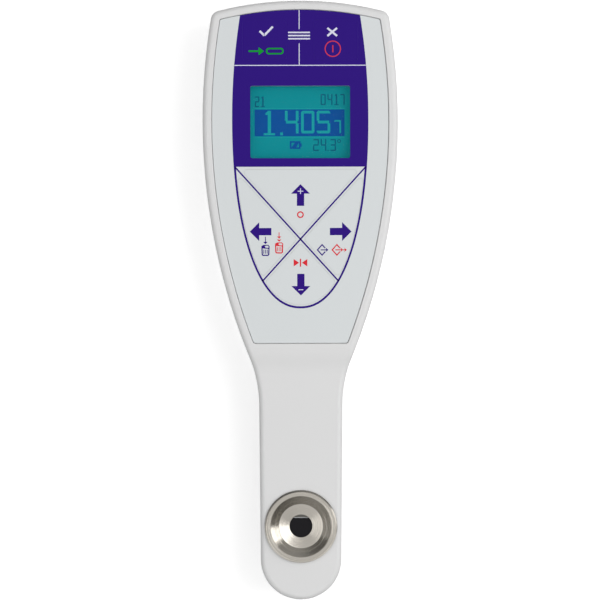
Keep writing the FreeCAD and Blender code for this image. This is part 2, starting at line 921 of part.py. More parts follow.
def make_rear_shell():
    """The back half of the casing, with the battery bay, the door's seat and the screw wells."""
    form = casing_form(0, 0).common(below(parting_height))
    outside = form.copy()
    form = form.cut(casing_form(wall, wall).common(below(parting_height + BEYOND)))
    towers, wells = screw_wells()
    frame, tongue_rooms = door_frame()
    bay = bay_form(bay_wall, bay_low_y - bay_wall, bay_high_y + bay_wall, 0)
    inner = joined(towers + frame + [bay]).common(outside)
    form = form.fuse(inner)
    seam = casing_plate(-PAST, parting_height - seam_height, parting_height + PAST).cut(
        casing_plate(seam_depth, 0, body_height)
    )
    groove = gasket_ring(
        gasket_edge, gasket_edge + gasket_width, parting_height - gasket_depth, parting_height + PAST
    )
    insert_hole = rod(0, door_screw_y, door_seat_z - PAST, insert_top_z(), insert_radius)
    tabs = [
        plate(sign * battery_half_pitch, bay_low_y + contact_thickness / 2, battery_z, parting_height,
              contact_tab_width + 2 * fit_gap, contact_thickness + 2 * fit_gap)
        for sign in (-1, 1)
    ]
    cuts = [
        seam,
        groove,
        insert_hole,
        door_plate(door_gap, -BEYOND, door_seat_z),
        bay_form(0, bay_low_y, bay_high_y, -BEYOND),
        contact_room(bay_low_y, bay_low_y + contact_thickness + fit_gap, fit_gap),
        contact_room(bay_high_y - contact_thickness - fit_gap, bay_high_y, fit_gap),
    ]
    return without(form, cuts + wells + tongue_rooms + tabs)


def make_casing_gasket():
    """The soft cord between the two halves of the casing."""
    low_z = parting_height - gasket_depth
    return gasket_ring(gasket_edge, gasket_edge + gasket_width, low_z, parting_height)


def make_casing_screws():
    """Six screws, driven from the back, each with a hexagon socket in its head."""
    low_z = screw_seat_z - screw_head_height
    screws = []
    for x, y in casing_screw_places:
        socket = many_sided(x, y, 6, socket_drive_radius, low_z - PAST, low_z + socket_drive_depth)
        screws.append(screw(x, y, screw_seat_z, casing_screw_sizes).cut(socket))
    return group(screws)


def make_keypad_overlay():
    """The printed film, with a window for the display and the keys cut free."""
    film = keypad_plate(groove_width, film_low_z, film_top_z)
    pads = key_pads(slide_gap, film_low_z - PAST, film_top_z + PAST)
    return without(film, [window_plate(0, film_low_z - PAST, film_top_z + PAST), *pads.values()])


def make_display_window():
    """The clear pane over the display, with a lip that the film holds down."""
    lip = window_plate(lens_lip, recess_z, film_low_z)
    pane = window_plate(-slide_gap, film_low_z - fit_gap, film_top_z)
    return joined([lip, pane])


def make_keypad_spacer():
    """The spacer that holds the film off the circuit, open under the keys."""
    sheet = keypad_plate(groove_width, circuit_top_z, film_low_z)
    pads = key_pads(key_side_room, circuit_top_z - PAST, film_low_z + PAST)
    opening = window_plate(lens_lip + fit_gap, circuit_top_z - PAST, film_low_z + PAST)
    return without(sheet, [opening, *pads.values()])


def make_keypad_circuit():
    """The flexible circuit under the keys, with its tail down through the deck."""
    sheet = keypad_plate(groove_width, recess_z, circuit_top_z)
    sheet = sheet.cut(window_plate(lens_lip + fit_gap, recess_z - PAST, circuit_top_z + PAST))
    tail_low_z = board_top_z + socket_height - socket_grip
    tail = plate(0, circuit_tail_y, tail_low_z, recess_z, tail_width, ribbon_thickness)
    return joined([sheet, tail])


def make_key_domes():
    """Six thin metal domes, drawn pressed flat, so that a key meets its dome at full travel."""
    top_z = circuit_top_z + spacer_thickness - key_travel - dome_slack
    domes = []
    for x, y in dome_places.values():
        outer = many_sided(x, y, dome_sides, dome_radius, circuit_top_z, top_z)
        inner = many_sided(x, y, dome_sides, dome_radius - dome_rim, 0, top_z - dome_sheet)
        domes.append(outer.cut(inner))
    return group(domes)


def make_display_gasket():
    """The soft frame between the glass and the deck."""
    return window_plate(display_gasket_width, glass_top_z, cavity_top_z).cut(
        window_plate(0, glass_top_z - PAST, cavity_top_z + PAST)
    )


def make_lcd_glass():
    """The two bonded panes of the display, the rear one shorter at both ends."""
    front = plate(0, window_y, pane_middle_z, glass_top_z, glass_width, glass_height)
    rear = plate(0, window_y, glass_low_z, pane_middle_z, glass_width, glass_height - 2 * glass_ledge)
    return joined([front, rear])


def make_lcd_backlight():
    """The light guide behind the glass."""
    height = glass_height - 2 * glass_ledge
    return plate(0, window_y, board_top_z, glass_low_z, glass_width, height)


def connector_offset():
    """How far each elastic connector lies from the middle of the display."""
    return glass_height / 2 - glass_ledge / 2


def make_lcd_connectors():
    """Two elastic strips that join the glass to the board."""
    return group(
        plate(0, window_y + sign * connector_offset(), board_top_z, pane_middle_z,
              connector_length, connector_width)
        for sign in (-1, 1)
    )


def make_lcd_holder():
    """The frame that keeps the glass, the light guide and the strips in place."""
    inner_width = glass_width + 2 * holder_gap
    inner_height = glass_height + 2 * holder_gap
    frame = plate(0, window_y, board_top_z, glass_top_z, inner_width + 2 * holder_wall,
                  inner_height + 2 * holder_wall, holder_wall)
    frame = frame.cut(plate(0, window_y, board_top_z - PAST, glass_top_z + PAST, inner_width, inner_height))
    gap_middle = (glass_height / 2 - glass_ledge + connector_offset() - connector_width / 2) / 2
    ribs = [
        plate(0, window_y + sign * gap_middle, board_top_z, glass_low_z,
              inner_width + holder_wall, holder_rib)
        for sign in (-1, 1)
    ]
    return joined([frame] + ribs)


def make_main_board():
    """The circuit board, cut to the casing and notched round the screw posts."""
    board = casing_plate(wall + board_margin, board_low_z, board_top_z).common(beyond_y(board_low_y))
    holes = [
        rod(x, y, 0, body_height, screw_post_radius + board_notch_gap) for x, y in casing_screw_places
    ]
    holes += [rod(x, y, 0, body_height, small_screw_radius + slide_gap) for x, y in board_post_places]
    return without(board, holes)


def make_board_screws():
    """Four small screws that hold the board to its posts."""
    return group(screw(x, y, board_low_z, small_screw_sizes) for x, y in board_post_places)


def processor_y():
    """The middle of the processor, below the display's holder."""
    return window_y - glass_height / 2 - holder_gap - holder_wall - processor_below_display


def make_processor_chip():
    """The processor, on the face of the board."""
    return plate(0, processor_y(), board_top_z, board_top_z + processor_height,
                 processor_size, processor_size)


def make_converter_chip():
    """The converter that reads the sensor, below the processor."""
    return plate(0, processor_y() - converter_below_processor, board_top_z,
                 board_top_z + converter_height, converter_size, converter_size)


def make_buzzer():
    """The sounder, under the board."""
    buzzer_y = end_y - buzzer_from_end
    can = rod(0, buzzer_y, board_low_z - buzzer_height, board_low_z, buzzer_radius)
    port_z = board_low_z - buzzer_height
    return can.cut(rod(0, buzzer_y, port_z - PAST, port_z + PAST, buzzer_radius / 5))


def socket_block(y, z_low, z_high, width):
    """The body of a socket that stands on one face of the board."""
    return plate(0, y, z_low, z_high, socket_length, width)


def socket_slot(y, z_low, z_high):
    """The slot in a socket that one ribbon is pushed into."""
    return plate(0, y, z_low, z_high, tail_width + 2 * fit_gap, ribbon_thickness + 2 * socket_slot_gap)


def make_keypad_socket():
    """The socket on the face of the board for the keypad's tail."""
    top_z = board_top_z + socket_height
    body = socket_block(circuit_tail_y, board_top_z, top_z, socket_width)
    return body.cut(socket_slot(circuit_tail_y, top_z - socket_grip, top_z + PAST))


def ribbon_places():
    """Where the sensor's and the lamp's ribbons enter their socket."""
    return sensor_socket_y - ribbon_pitch / 2, sensor_socket_y + ribbon_pitch / 2


def make_sensor_socket():
    """The socket under the board for the ribbons from the optics."""
    low_z = board_low_z - socket_height
    body = socket_block(sensor_socket_y, low_z, board_low_z, sensor_socket_width)
    return without(body, [socket_slot(y, low_z - PAST, low_z + socket_grip) for y in ribbon_places()])


def make_infrared_emitter():
    """The infrared emitter at the display end of the board."""
    y = end_y - wall - infrared_flange - 2 * fit_gap - emitter_depth / 2
    low_y = y - emitter_depth / 2
    body = plate(0, y, board_top_z, board_top_z + emitter_height, emitter_width, emitter_depth)
    middle_z = board_top_z + emitter_height / 2
    eye = lying_rod(0, middle_z, low_y, y + emitter_depth / 2 + fit_gap, emitter_height / 2 - 2 * fit_gap)
    return joined([body.cut(eye), eye])


def make_infrared_window():
    """The dark window in the wall at the display end, flush outside, with a flange inside."""
    plug = infrared_hole(-slide_gap).common(casing_plate(0, 0, body_height))
    plug = plug.cut(casing_plate(wall + infrared_flange, 0, body_height))
    flange = infrared_hole(infrared_lip).common(casing_plate(wall, 0, body_height))
    flange = flange.cut(casing_plate(wall + infrared_flange, 0, body_height))
    return joined([plug, flange])


def battery(sign):
    """One cell, standing the other way round on the other side."""
    x = sign * battery_half_pitch
    low_y = bay_low_y + contact_thickness
    can_low = low_y + (contact_spring_reach if sign < 0 else battery_nub_length)
    can_high = can_low + battery_length
    can = lying_rod(x, battery_z, can_low, can_high, battery_radius)
    nub_low = can_high if sign < 0 else low_y
    nub = lying_rod(x, battery_z, nub_low, nub_low + battery_nub_length, battery_nub_radius)
    return joined([can, nub])


def contact_plate(x, y_low, half_width):
    """A flat contact plate at one end of the bay."""
    height = contact_spring_reach + contact_edge
    low = Vector(x - half_width, y_low, battery_z - height)
    return box(low, Vector(x + half_width, y_low + contact_thickness, battery_z + height))


def contact_spring(x, y, side):
    """A bowed strip that presses on the end of a cell, half a turn about the cell's height."""
    half = contact_spring_width / 2
    start = Vector(x - half, y, battery_z)
    across = Vector(1, 0, 0)
    bow = Part.makeCylinder(contact_spring_reach, 2 * half, start, across)
    hollow = Part.makeCylinder(contact_spring_reach - contact_thickness, 2 * half, start, across)
    near, far = sorted((y, y + side * 2 * contact_spring_reach))
    keep = box(Vector(x - half, near, 0), Vector(x + half, far, body_height))
    return bow.cut(hollow).common(keep)


def make_battery_bridge():
    """The contact that joins the two cells at the display end of the bay."""
    low_y = bay_high_y - contact_thickness
    strip = contact_plate(0, low_y, battery_half_pitch + contact_half_width)
    return joined([strip, contact_spring(battery_half_pitch, low_y, -1)])


def make_battery_terminals():
    """The two contacts at the lower end of the bay, with tabs up to the board."""
    terminals = []
    for sign in (-1, 1):
        x = sign * battery_half_pitch
        strip = contact_plate(x, bay_low_y, contact_half_width)
        tab = plate(x, bay_low_y + contact_thickness / 2, battery_z, board_low_z,
                    contact_tab_width, contact_thickness)
        pieces = [strip, tab]
        if sign < 0:
            pieces.append(contact_spring(x, bay_low_y + contact_thickness, 1))
        terminals.append(joined(pieces))
    return group(terminals)


def door_gasket_plate(grow, z_low, z_high):
    """A plate as large as the inside of the door's gasket, larger by grow all round."""
    middle = (bay_low_y + bay_high_y) / 2
    margin = 2 * (door_gasket_margin + grow)
    width = 2 * bay_half_width + margin
    length = bay_high_y - bay_low_y + margin
    return plate(0, middle, z_low, z_high, width, length, door_gasket_margin + grow)


def make_door_gasket():
    """The soft ring in the door's inner face."""
    low_z = door_thickness - door_gasket_depth
    outer = door_gasket_plate(door_gasket_width, low_z, door_seat_z)
    return outer.cut(door_gasket_plate(0, low_z - PAST, door_seat_z + PAST))


def make_battery_door():
    """The door in the back, with two tongues at one end and a coin screw at the other."""
    door = joined([door_plate(0, 0, door_thickness)] + door_tongues())
    groove = door_gasket_plate(door_gasket_width, door_thickness - door_gasket_depth, BEYOND)
    groove = groove.cut(door_gasket_plate(0, 0, 2 * BEYOND))
    head_z = door_screw_sink + door_screw_head_height
    well = rod(0, door_screw_y, -PAST, head_z, door_screw_head_radius + door_screw_side_gap)
    hole = rod(0, door_screw_y, -PAST, BEYOND, door_screw_core_radius + door_screw_side_gap)
    return without(door, [groove, well, hole])


def make_door_screw():
    """The coin screw that holds the door shut."""
    head_z = door_screw_sink + door_screw_head_height
    head = rod(0, door_screw_y, door_screw_sink, head_z, door_screw_head_radius)
    shank = rod(0, door_screw_y, head_z, door_seat_z + door_screw_reach, door_screw_core_radius)
    slot = plate(0, door_screw_y, -PAST, door_screw_sink + coin_slot_depth,
                 3 * door_screw_head_radius, coin_slot_width)
    return joined([head, shank]).cut(slot)


def make_door_insert():
    """The threaded insert in the back that the coin screw bites into."""
    return tube(0, door_screw_y, door_seat_z + fit_gap, insert_top_z(), insert_radius,
                door_screw_core_radius + door_thread_depth)


def revolved(points):
    """A ring about the measuring cell's axis, from its half section in radius and height."""
    vectors = [Vector(radius, 0, z) for radius, z in points]
    edges = [line(vectors[k], vectors[(k + 1) % len(vectors)]) for k in range(len(vectors))]
    face = Part.Face(Part.Wire(edges))
    face.translate(Vector(0, cell_y, 0))
    return face.revolve(Vector(0, cell_y, 0), Vector(0, 0, 1), 360)


def make_cell_ring():
    """The turned ring with the sample well: a steep cone, then a shallow one to the window."""
    floor_z = body_height - bowl_floor_drop
    return revolved([
        (bowl_radius, body_height),
        (ring_radius - ring_edge_bevel, body_height),
        (ring_radius, body_height - ring_edge_bevel),
        (ring_radius, ring_seat_z),
        (ring_body_radius, ring_seat_z),
        (ring_body_radius, ring_low_z),
        (ring_bore_radius, ring_low_z),
        (ring_bore_radius, seal_top_z),
        (window_hole_radius, seal_top_z),
        (window_hole_radius, bowl_hole_z),
        (bowl_floor_radius, floor_z),
    ])


def make_cell_gasket():
    """The soft ring under the edge of the cell."""
    low_z = ring_seat_z - cell_gasket_thickness
    return tube(0, cell_y, low_z, ring_seat_z, cell_gasket_outer_radius, cell_gasket_inner_radius)


def make_cell_nut():
    """The ring nut that draws the cell down from inside."""
    low_z = cavity_top_z - nut_height
    nut = tube(0, cell_y, low_z, cavity_top_z, nut_radius, ring_body_radius + slide_gap)
    slots = [
        plate(0, cell_y, low_z - PAST, low_z + nut_slot_depth, 3 * nut_radius, nut_slot_width),
        plate(0, cell_y, low_z - PAST, low_z + nut_slot_depth, nut_slot_width, 3 * nut_radius),
    ]
    return without(nut, slots)


def prism_form(grow, z_low):
    """The prism below its flange, larger by grow all round, its ends square to the beams."""
    half = prism_length / 2 + grow
    inward = (flange_low_z - z_low) * tan(radians(90 - beam_angle))
    corners = [
        Vector(0, -half, flange_low_z),
        Vector(0, half, flange_low_z),
        Vector(0, half - inward, z_low),
        Vector(0, inward - half, z_low),
    ]
    edges = [line(corners[k], corners[(k + 1) % 4]) for k in range(4)]
    face = Part.Face(Part.Wire(edges))
    width = prism_width + 2 * grow
    face.translate(Vector(-width / 2, cell_y, 0))
    return face.extrude(Vector(width, 0, 0))


def make_prism():
    """The prism under the window, with a round flange and a bevel along one side of its land."""
    flange = rod(0, cell_y, flange_low_z, flange_top_z, prism_flange_radius)
    land = rod(0, cell_y, flange_top_z, prism_top_z, window_hole_radius - fit_gap)
    bevel_y = cell_y + prism_bevel_from_centre
    step = box(Vector(-WIDE, bevel_y, prism_top_z - prism_bevel_drop), Vector(WIDE, WIDE, WIDE))
    return joined([flange, land.cut(step), prism_form(0, flange_low_z - prism_depth)])


def make_prism_seal():
    """The thin seal between the prism's flange and the ring."""
    return tube(0, cell_y, flange_top_z, seal_top_z, prism_flange_radius, window_hole_radius + fit_gap)


def block_profile():
    """The optics block seen from the side, with its two ends square to the beams."""
    lean = radians(beam_angle)

    def end_y_at(distance, z):
        return (distance - (prism_top_z - z) * cos(lean)) / sin(lean)

    lamp_high = -end_y_at(lamp_board_distance, block_top_z)
    lamp_low = -end_y_at(lamp_board_distance, block_low_z)
    sensor_far = sensor_distance + sensor_thickness
    sensor_high = end_y_at(sensor_far, block_top_z)
    sensor_low = end_y_at(sensor_far, block_low_z)
    corners = [
        Vector(0, lamp_high, block_top_z),
        Vector(0, sensor_high, block_top_z),
        Vector(0, sensor_low, block_low_z),
        Vector(0, lamp_low, block_low_z),
    ]
    edges = [line(corners[k], corners[(k + 1) % 4]) for k in range(4)]
    face = Part.Face(Part.Wire(edges))
    face.translate(Vector(-block_half_width, cell_y, 0))
    return face.extrude(Vector(2 * block_half_width, 0, 0))


def make_optics_block():
    """The moulded block that presses the prism home and holds the lamp, lens and sensor."""
    ear_low = Vector(-block_half_width, cell_y - lamp_post_y - ear_end_margin, ear_low_z)
    ears = box(ear_low, Vector(block_half_width, cell_y + sensor_post_y + ear_end_margin, block_top_z))
    boss = rod(0, cell_y, block_low_z + block_depth / 2, flange_low_z, ring_bore_radius - block_gap)
    block = joined([block_profile(), ears, boss])
    seat = sensor_distance + sensor_thickness
    lens_back = lens_distance - lens_edge / 2 - lens_seat_gap
    cuts = [
        prism_form(pocket_gap, flange_low_z - prism_depth - pocket_gap),
        beam_rod(SENSOR_SIDE, 0, seat, aperture_radius),
        beam_rod(SENSOR_SIDE, lens_back, seat + PAST, lens_radius + slide_gap),
        beam_box(SENSOR_SIDE, sensor_distance - fit_gap, seat + PAST, sensor_width + 2 * fit_gap,
                 sensor_length + 2 * fit_gap),
        beam_rod(LAMP_SIDE, 0, lamp_board_distance, lamp_aperture_radius),
        beam_rod(LAMP_SIDE, lamp_board_distance - lamp_length - fit_gap, lamp_board_distance + PAST,
                 lamp_radius + slide_gap),
        beam_rod(LAMP_SIDE, lamp_board_distance - lamp_flange_thickness - fit_gap,
                 lamp_board_distance + PAST, lamp_flange_radius + fit_gap),
        rod(thermistor_x, cell_y, block_low_z - PAST, flange_low_z + PAST, thermistor_radius + slide_gap),
    ]
    cuts += [
        rod(x, y, 0, body_height, small_screw_radius + 2 * slide_gap) for x, y in optics_post_places
    ]
    return without(block, cuts)


def make_optics_screws():
    """Four small screws that hold the optics block to its posts."""
    return group(screw(x, y, ear_low_z, small_screw_sizes) for x, y in optics_post_places)


def make_lens():
    """The lens between prism and sensor, bulged on both faces."""
    half_edge = lens_edge / 2
    ball_radius = (lens_radius**2 + lens_bulge**2) / (2 * lens_bulge)
    offset = ball_radius - lens_bulge - half_edge
    near = Part.makeSphere(ball_radius, Vector(0, 0, offset))
    far = Part.makeSphere(ball_radius, Vector(0, 0, -offset))
    blank = rod(0, 0, -lens_edge, lens_edge, lens_radius)
    lens = blank.common(near).common(far)
    lens.translate(Vector(0, 0, -lens_distance))
    return slanted(lens, SENSOR_SIDE)


def make_image_sensor():
    """The line sensor that sees where the shadow falls."""
    return beam_box(SENSOR_SIDE, sensor_distance, sensor_distance + sensor_thickness,
                    sensor_width, sensor_length)


def make_sensor_board():
    """The small board behind the sensor."""
    near = sensor_distance + sensor_thickness
    return beam_box(SENSOR_SIDE, near, near + small_board_thickness, sensor_board_width, sensor_board_height)


def make_lamp():
    """The lamp that lights the sample through the prism."""
    tip = lamp_board_distance - lamp_length
    stem = rod(0, 0, -lamp_board_distance, -tip - lamp_radius, lamp_radius)
    dome = Part.makeSphere(lamp_radius, Vector(0, 0, -tip - lamp_radius))
    flange = rod(0, 0, -lamp_board_distance, lamp_flange_thickness - lamp_board_distance, lamp_flange_radius)
    return slanted(joined([stem, dome, flange]), LAMP_SIDE)


def make_lamp_board():
    """The small board behind the lamp."""
    return beam_box(LAMP_SIDE, lamp_board_distance, lamp_board_distance + small_board_thickness,
                    lamp_board_size, lamp_board_size)


def make_thermistor():
    """The temperature sensor beside the prism."""
    top_z = flange_low_z - fit_gap
    return rod(thermistor_x, cell_y, top_z - thermistor_length, top_z, thermistor_radius)


def level_ribbon(width, y_low, y_high, z, z_top):
    """A flat ribbon that runs level along Y and then bends upright at its far end."""
    inner = ribbon_bend
    outer = ribbon_bend + ribbon_thickness
    run = box(Vector(-width / 2, y_low, z), Vector(width / 2, y_high - inner, z + ribbon_thickness))
    rise = box(Vector(-width / 2, y_high, z + outer), Vector(width / 2, y_high + ribbon_thickness, z_top))
    centre = Vector(-width / 2, y_high - inner, z + outer)
    bend = Part.makeCylinder(outer, width, centre, Vector(1, 0, 0))
    bend = bend.cut(Part.makeCylinder(inner, width, centre, Vector(1, 0, 0)))
    keep = box(Vector(-width / 2, centre.y, z), Vector(width / 2, centre.y + outer, centre.z))
    return joined([run, bend.common(keep), rise])


def board_back_y(side, distance, z):
    """Where the back of a slanted board crosses a height."""
    lean = radians(beam_angle)
    return cell_y + side * (distance - (prism_top_z - z) * cos(lean)) / sin(lean)


def make_sensor_ribbon():
    """The ribbon from the sensor's board to the main board."""
    z = neck_floor_z + sensor_ribbon_lift + ribbon_bend
    far = sensor_distance + sensor_thickness + small_board_thickness
    start = board_back_y(SENSOR_SIDE, far, z)
    top_z = board_low_z - socket_height + socket_grip - fit_gap
    end = ribbon_places()[0] - ribbon_thickness / 2
    ribbon = level_ribbon(sensor_ribbon_width, start - PAST, end, z, top_z)
    return ribbon.cut(beam_box(SENSOR_SIDE, 0, far, 2 * sensor_board_width, 3 * sensor_board_height))


def make_lamp_ribbon():
    """The ribbon from the lamp's board, under the optics block, to the main board."""
    z = block_low_z - lamp_ribbon_drop - ribbon_thickness
    far = lamp_board_distance + small_board_thickness
    top_z = board_low_z - socket_height + socket_grip - fit_gap
    low_end_z = block_low_z + ribbon_bend + 2 * small_board_thickness
    start_y = board_back_y(LAMP_SIDE, far, low_end_z) - ribbon_thickness
    end = ribbon_places()[1] - ribbon_thickness / 2
    run = level_ribbon(lamp_ribbon_width, start_y + ribbon_bend + ribbon_thickness, end, z, top_z)
    half = lamp_ribbon_width / 2
    outer = ribbon_bend + ribbon_thickness
    centre = Vector(-half, start_y + outer, z + outer)
    bend = Part.makeCylinder(outer, 2 * half, centre, Vector(1, 0, 0))
    bend = bend.cut(Part.makeCylinder(ribbon_bend, 2 * half, centre, Vector(1, 0, 0)))
    bend = bend.common(box(Vector(-half, start_y, z), Vector(half, centre.y, centre.z)))
    rise = box(Vector(-half, start_y, centre.z), Vector(half, start_y + ribbon_thickness, low_end_z + PAST))
    rise = rise.cut(beam_box(LAMP_SIDE, 0, far, 2 * lamp_board_size, 3 * lamp_board_size))
    return joined([run, bend, rise])


def make_all():
    """Every piece of the assembly by name."""
    pieces = {
        "front_shell": make_front_shell(),
        "rear_shell": make_rear_shell(),
        "casing_gasket": make_casing_gasket(),
        "casing_screws": make_casing_screws(),
        "keypad_overlay": make_keypad_overlay(),
        "display_window": make_display_window(),
        "keypad_spacer": make_keypad_spacer(),
        "keypad_circuit": make_keypad_circuit(),
        "key_domes": make_key_domes(),
        "display_gasket": make_display_gasket(),
        "lcd_glass": make_lcd_glass(),
        "lcd_backlight": make_lcd_backlight(),
        "lcd_connectors": make_lcd_connectors(),
        "lcd_holder": make_lcd_holder(),
        "main_board": make_main_board(),
        "board_screws": make_board_screws(),
        "processor_chip": make_processor_chip(),
        "converter_chip": make_converter_chip(),
        "buzzer": make_buzzer(),
        "keypad_socket": make_keypad_socket(),
        "sensor_socket": make_sensor_socket(),
        "infrared_emitter": make_infrared_emitter(),
        "infrared_window": make_infrared_window(),
        "battery_left": battery(-1),
        "battery_right": battery(1),
        "battery_bridge": make_battery_bridge(),
        "battery_terminals": make_battery_terminals(),
        "battery_door": make_battery_door(),
        "door_gasket": make_door_gasket(),
        "door_screw": make_door_screw(),
        "door_insert": make_door_insert(),
        "cell_ring": make_cell_ring(),
        "cell_gasket": make_cell_gasket(),
        "cell_nut": make_cell_nut(),
        "prism": make_prism(),
        "prism_seal": make_prism_seal(),
        "optics_block": make_optics_block(),
        "optics_screws": make_optics_screws(),
        "lens": make_lens(),
        "image_sensor": make_image_sensor(),
        "sensor_board": make_sensor_board(),
        "lamp": make_lamp(),
        "lamp_board": make_lamp_board(),
        "thermistor": make_thermistor(),
        "sensor_ribbon": make_sensor_ribbon(),
        "lamp_ribbon": make_lamp_ribbon(),
    }
    pieces.update(key_pads(0, film_low_z, film_top_z))
    return pieces


os.makedirs("parts", exist_ok=True)
for name, shape in make_all().items():
    shape.exportStep(f"parts/{name}.step")
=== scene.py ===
import logging
import math
from dataclasses import dataclass, replace
from enum import Enum
from typing import Callable, Iterable, Sequence

import bmesh
import bpy
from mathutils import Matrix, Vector


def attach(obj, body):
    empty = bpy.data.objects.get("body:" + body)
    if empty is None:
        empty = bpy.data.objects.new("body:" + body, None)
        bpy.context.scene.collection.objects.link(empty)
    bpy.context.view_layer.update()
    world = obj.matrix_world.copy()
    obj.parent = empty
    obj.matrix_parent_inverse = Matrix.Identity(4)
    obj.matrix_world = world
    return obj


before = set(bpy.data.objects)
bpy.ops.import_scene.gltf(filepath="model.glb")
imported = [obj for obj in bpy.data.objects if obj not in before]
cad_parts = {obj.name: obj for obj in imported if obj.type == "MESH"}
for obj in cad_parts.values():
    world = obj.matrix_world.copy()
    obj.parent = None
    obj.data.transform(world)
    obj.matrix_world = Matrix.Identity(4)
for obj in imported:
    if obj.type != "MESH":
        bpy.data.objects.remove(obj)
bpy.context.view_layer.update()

LOG = logging.getLogger("refractometer")
MM = 0.001
WHITE = (1.0, 1.0, 1.0, 1.0)
Point = tuple[float, float]
Pair = tuple[float, float]
Place = tuple[float, float, float]
Outline = list[Point]
Colour = tuple[int, int, int]


class Grain(Enum):
    """Ways in which a surface is rough."""

    SMOOTH = "smooth"
    MOULDED = "moulded"
    RINGS = "rings"
    BRUSHED = "brushed"
    WOVEN = "woven"


class Pattern(Enum):
    """Ways in which a second colour shares a surface with the first."""

    NONE = "none"
    TRACKS = "tracks"
    BANDS = "bands"
    STRIPS = "strips"
    BEYOND = "beyond"


class Stroke(Enum):
    """The straight bars and joints that the display's digits are drawn from."""

    TOP = "top"
    MIDDLE = "middle"
    BOTTOM = "bottom"
    LEFT_TOP = "left top"
    LEFT_HIGH = "left high"
    LEFT_MIDDLE = "left middle"
    LEFT_LOW = "left low"
    RIGHT_TOP = "right top"
    RIGHT_HIGH = "right high"
    RIGHT_MIDDLE = "right middle"
    RIGHT_LOW = "right low"
    RIGHT_BOTTOM = "right bottom"


def linear(colour: Colour) -> tuple[float, float, float, float]:
    """Turns a screen colour into the linear one that shaders take.

    Args:
        colour: red, green and blue from 0 to 255.

    Returns:
        The linear colour with an opaque fourth value.
    """
    parts = []
    for value in colour:
        share = value / 255
        parts.append(share / 12.92 if share <= 0.04045 else ((share + 0.055) / 1.055) ** 2.4)
    return (parts[0], parts[1], parts[2], 1.0)


class NodeGraph:
    """A node tree with short ways to add nodes and to join them."""

    def __init__(self, tree: bpy.types.NodeTree) -> None:
        """Takes over a tree and empties it.

        Args:
            tree: the tree of a material, a world or a node group.
        """
        self.tree = tree
        self.tree.nodes.clear()

    def add(self, kind: str, **settings: object) -> bpy.types.Node:
        """Adds a node.

        Args:
            kind: the node's type.
            **settings: properties of the node by name.

        Returns:
            The new node.
        """
        node = self.tree.nodes.new(kind)
        for name, value in settings.items():
            setattr(node, name, value)
        return node

    def join(self, source: bpy.types.NodeSocket, target: bpy.types.NodeSocket) -> None:
        """Joins two sockets.

        Args:
            source: the output that is read.
            target: the input that takes it.
        """
        self.tree.links.new(source, target)

    def put(self, value: object, target: bpy.types.NodeSocket) -> None:
        """Gives an input either a fixed value or another node's output.

        Args:
            value: a number, a colour or an output socket.
            target: the input that takes it.
        """
        if isinstance(value, bpy.types.NodeSocket):
            self.join(value, target)
        else:
            target.default_value = value

    def feed(self, node: bpy.types.Node, values: dict[str, object]) -> None:
        """Gives several inputs of a node their values or outputs.

        Args:
            node: the node.
            values: a value or an output socket for each input's name.
        """
        for label, value in values.items():
            self.put(value, node.inputs[label])

    def maths(self, operation: str, first: object, second: object = 0.0) -> bpy.types.NodeSocket:
        """Adds a node that works out one number from two.

        Args:
            operation: the name of the operation.
            first: a number or an output socket.
            second: a number or an output socket.

        Returns:
            The result's socket.
        """
        node = self.add("ShaderNodeMath", operation=operation)
        self.put(first, node.inputs[0])
        self.put(second, node.inputs[1])
        return node.outputs[0]

    def vector_maths(self, operation: str, place: object, second: Place) -> bpy.types.NodeSocket:
        """Adds a node that changes a place by a fixed vector.

        Args:
            operation: the name of the operation.
            place: the socket that holds the place.
            second: the fixed vector.

        Returns:
            The changed place's socket.
        """
        node = self.add("ShaderNodeVectorMath", operation=operation)
        self.put(place, node.inputs[0])
        node.inputs[1].default_value = second
        return node.outputs[0]

    def split(self, place: object) -> list[bpy.types.NodeSocket]:
        """Adds a node that takes a place apart.

        Args:
            place: the socket that holds the place.

        Returns:
            The sockets of its three coordinates.
        """
        node = self.add("ShaderNodeSeparateXYZ")
        self.put(place, node.inputs[0])
        return list(node.outputs)

    def noise(self, place: object, scale: object, detail: float) -> bpy.types.NodeSocket:
        """Adds a cloudy texture.

        Args:
            place: the socket that holds the place.
            scale: clouds for each unit of length.
            detail: how many finer layers it has.

        Returns:
            The texture's value.
        """
        node = self.add("ShaderNodeTexNoise")
        self.feed(node, {"Vector": place, "Scale": scale, "Detail": detail})
        return node.outputs[0]

    def wave(self, place: object, scale: object, direction: str) -> bpy.types.NodeSocket:
        """Adds a texture of straight waves.

        Args:
            place: the socket that holds the place.
            scale: how many waves there are for each unit of length.
            direction: the axis that they run along.

        Returns:
            The texture's value.
        """
        node = self.add("ShaderNodeTexWave", bands_direction=direction)
        self.feed(node, {"Vector": place, "Scale": scale})
        return node.outputs["Fac"]

    def mixed(self, share: object, first: object, second: object) -> bpy.types.NodeSocket:
        """Adds a node that mixes two colours.

        Args:
            share: how much of the second colour there is.
            first: a colour or an output socket.
            second: a colour or an output socket.

        Returns:
            The mixed colour's socket.
        """
        node = self.add("ShaderNodeMix", data_type="RGBA")
        # The node has inputs and outputs for numbers and vectors too; 6, 7 and 2 are those for colours.
        self.put(share, node.inputs[0])
        self.put(first, node.inputs[6])
        self.put(second, node.inputs[7])
        return node.outputs[2]


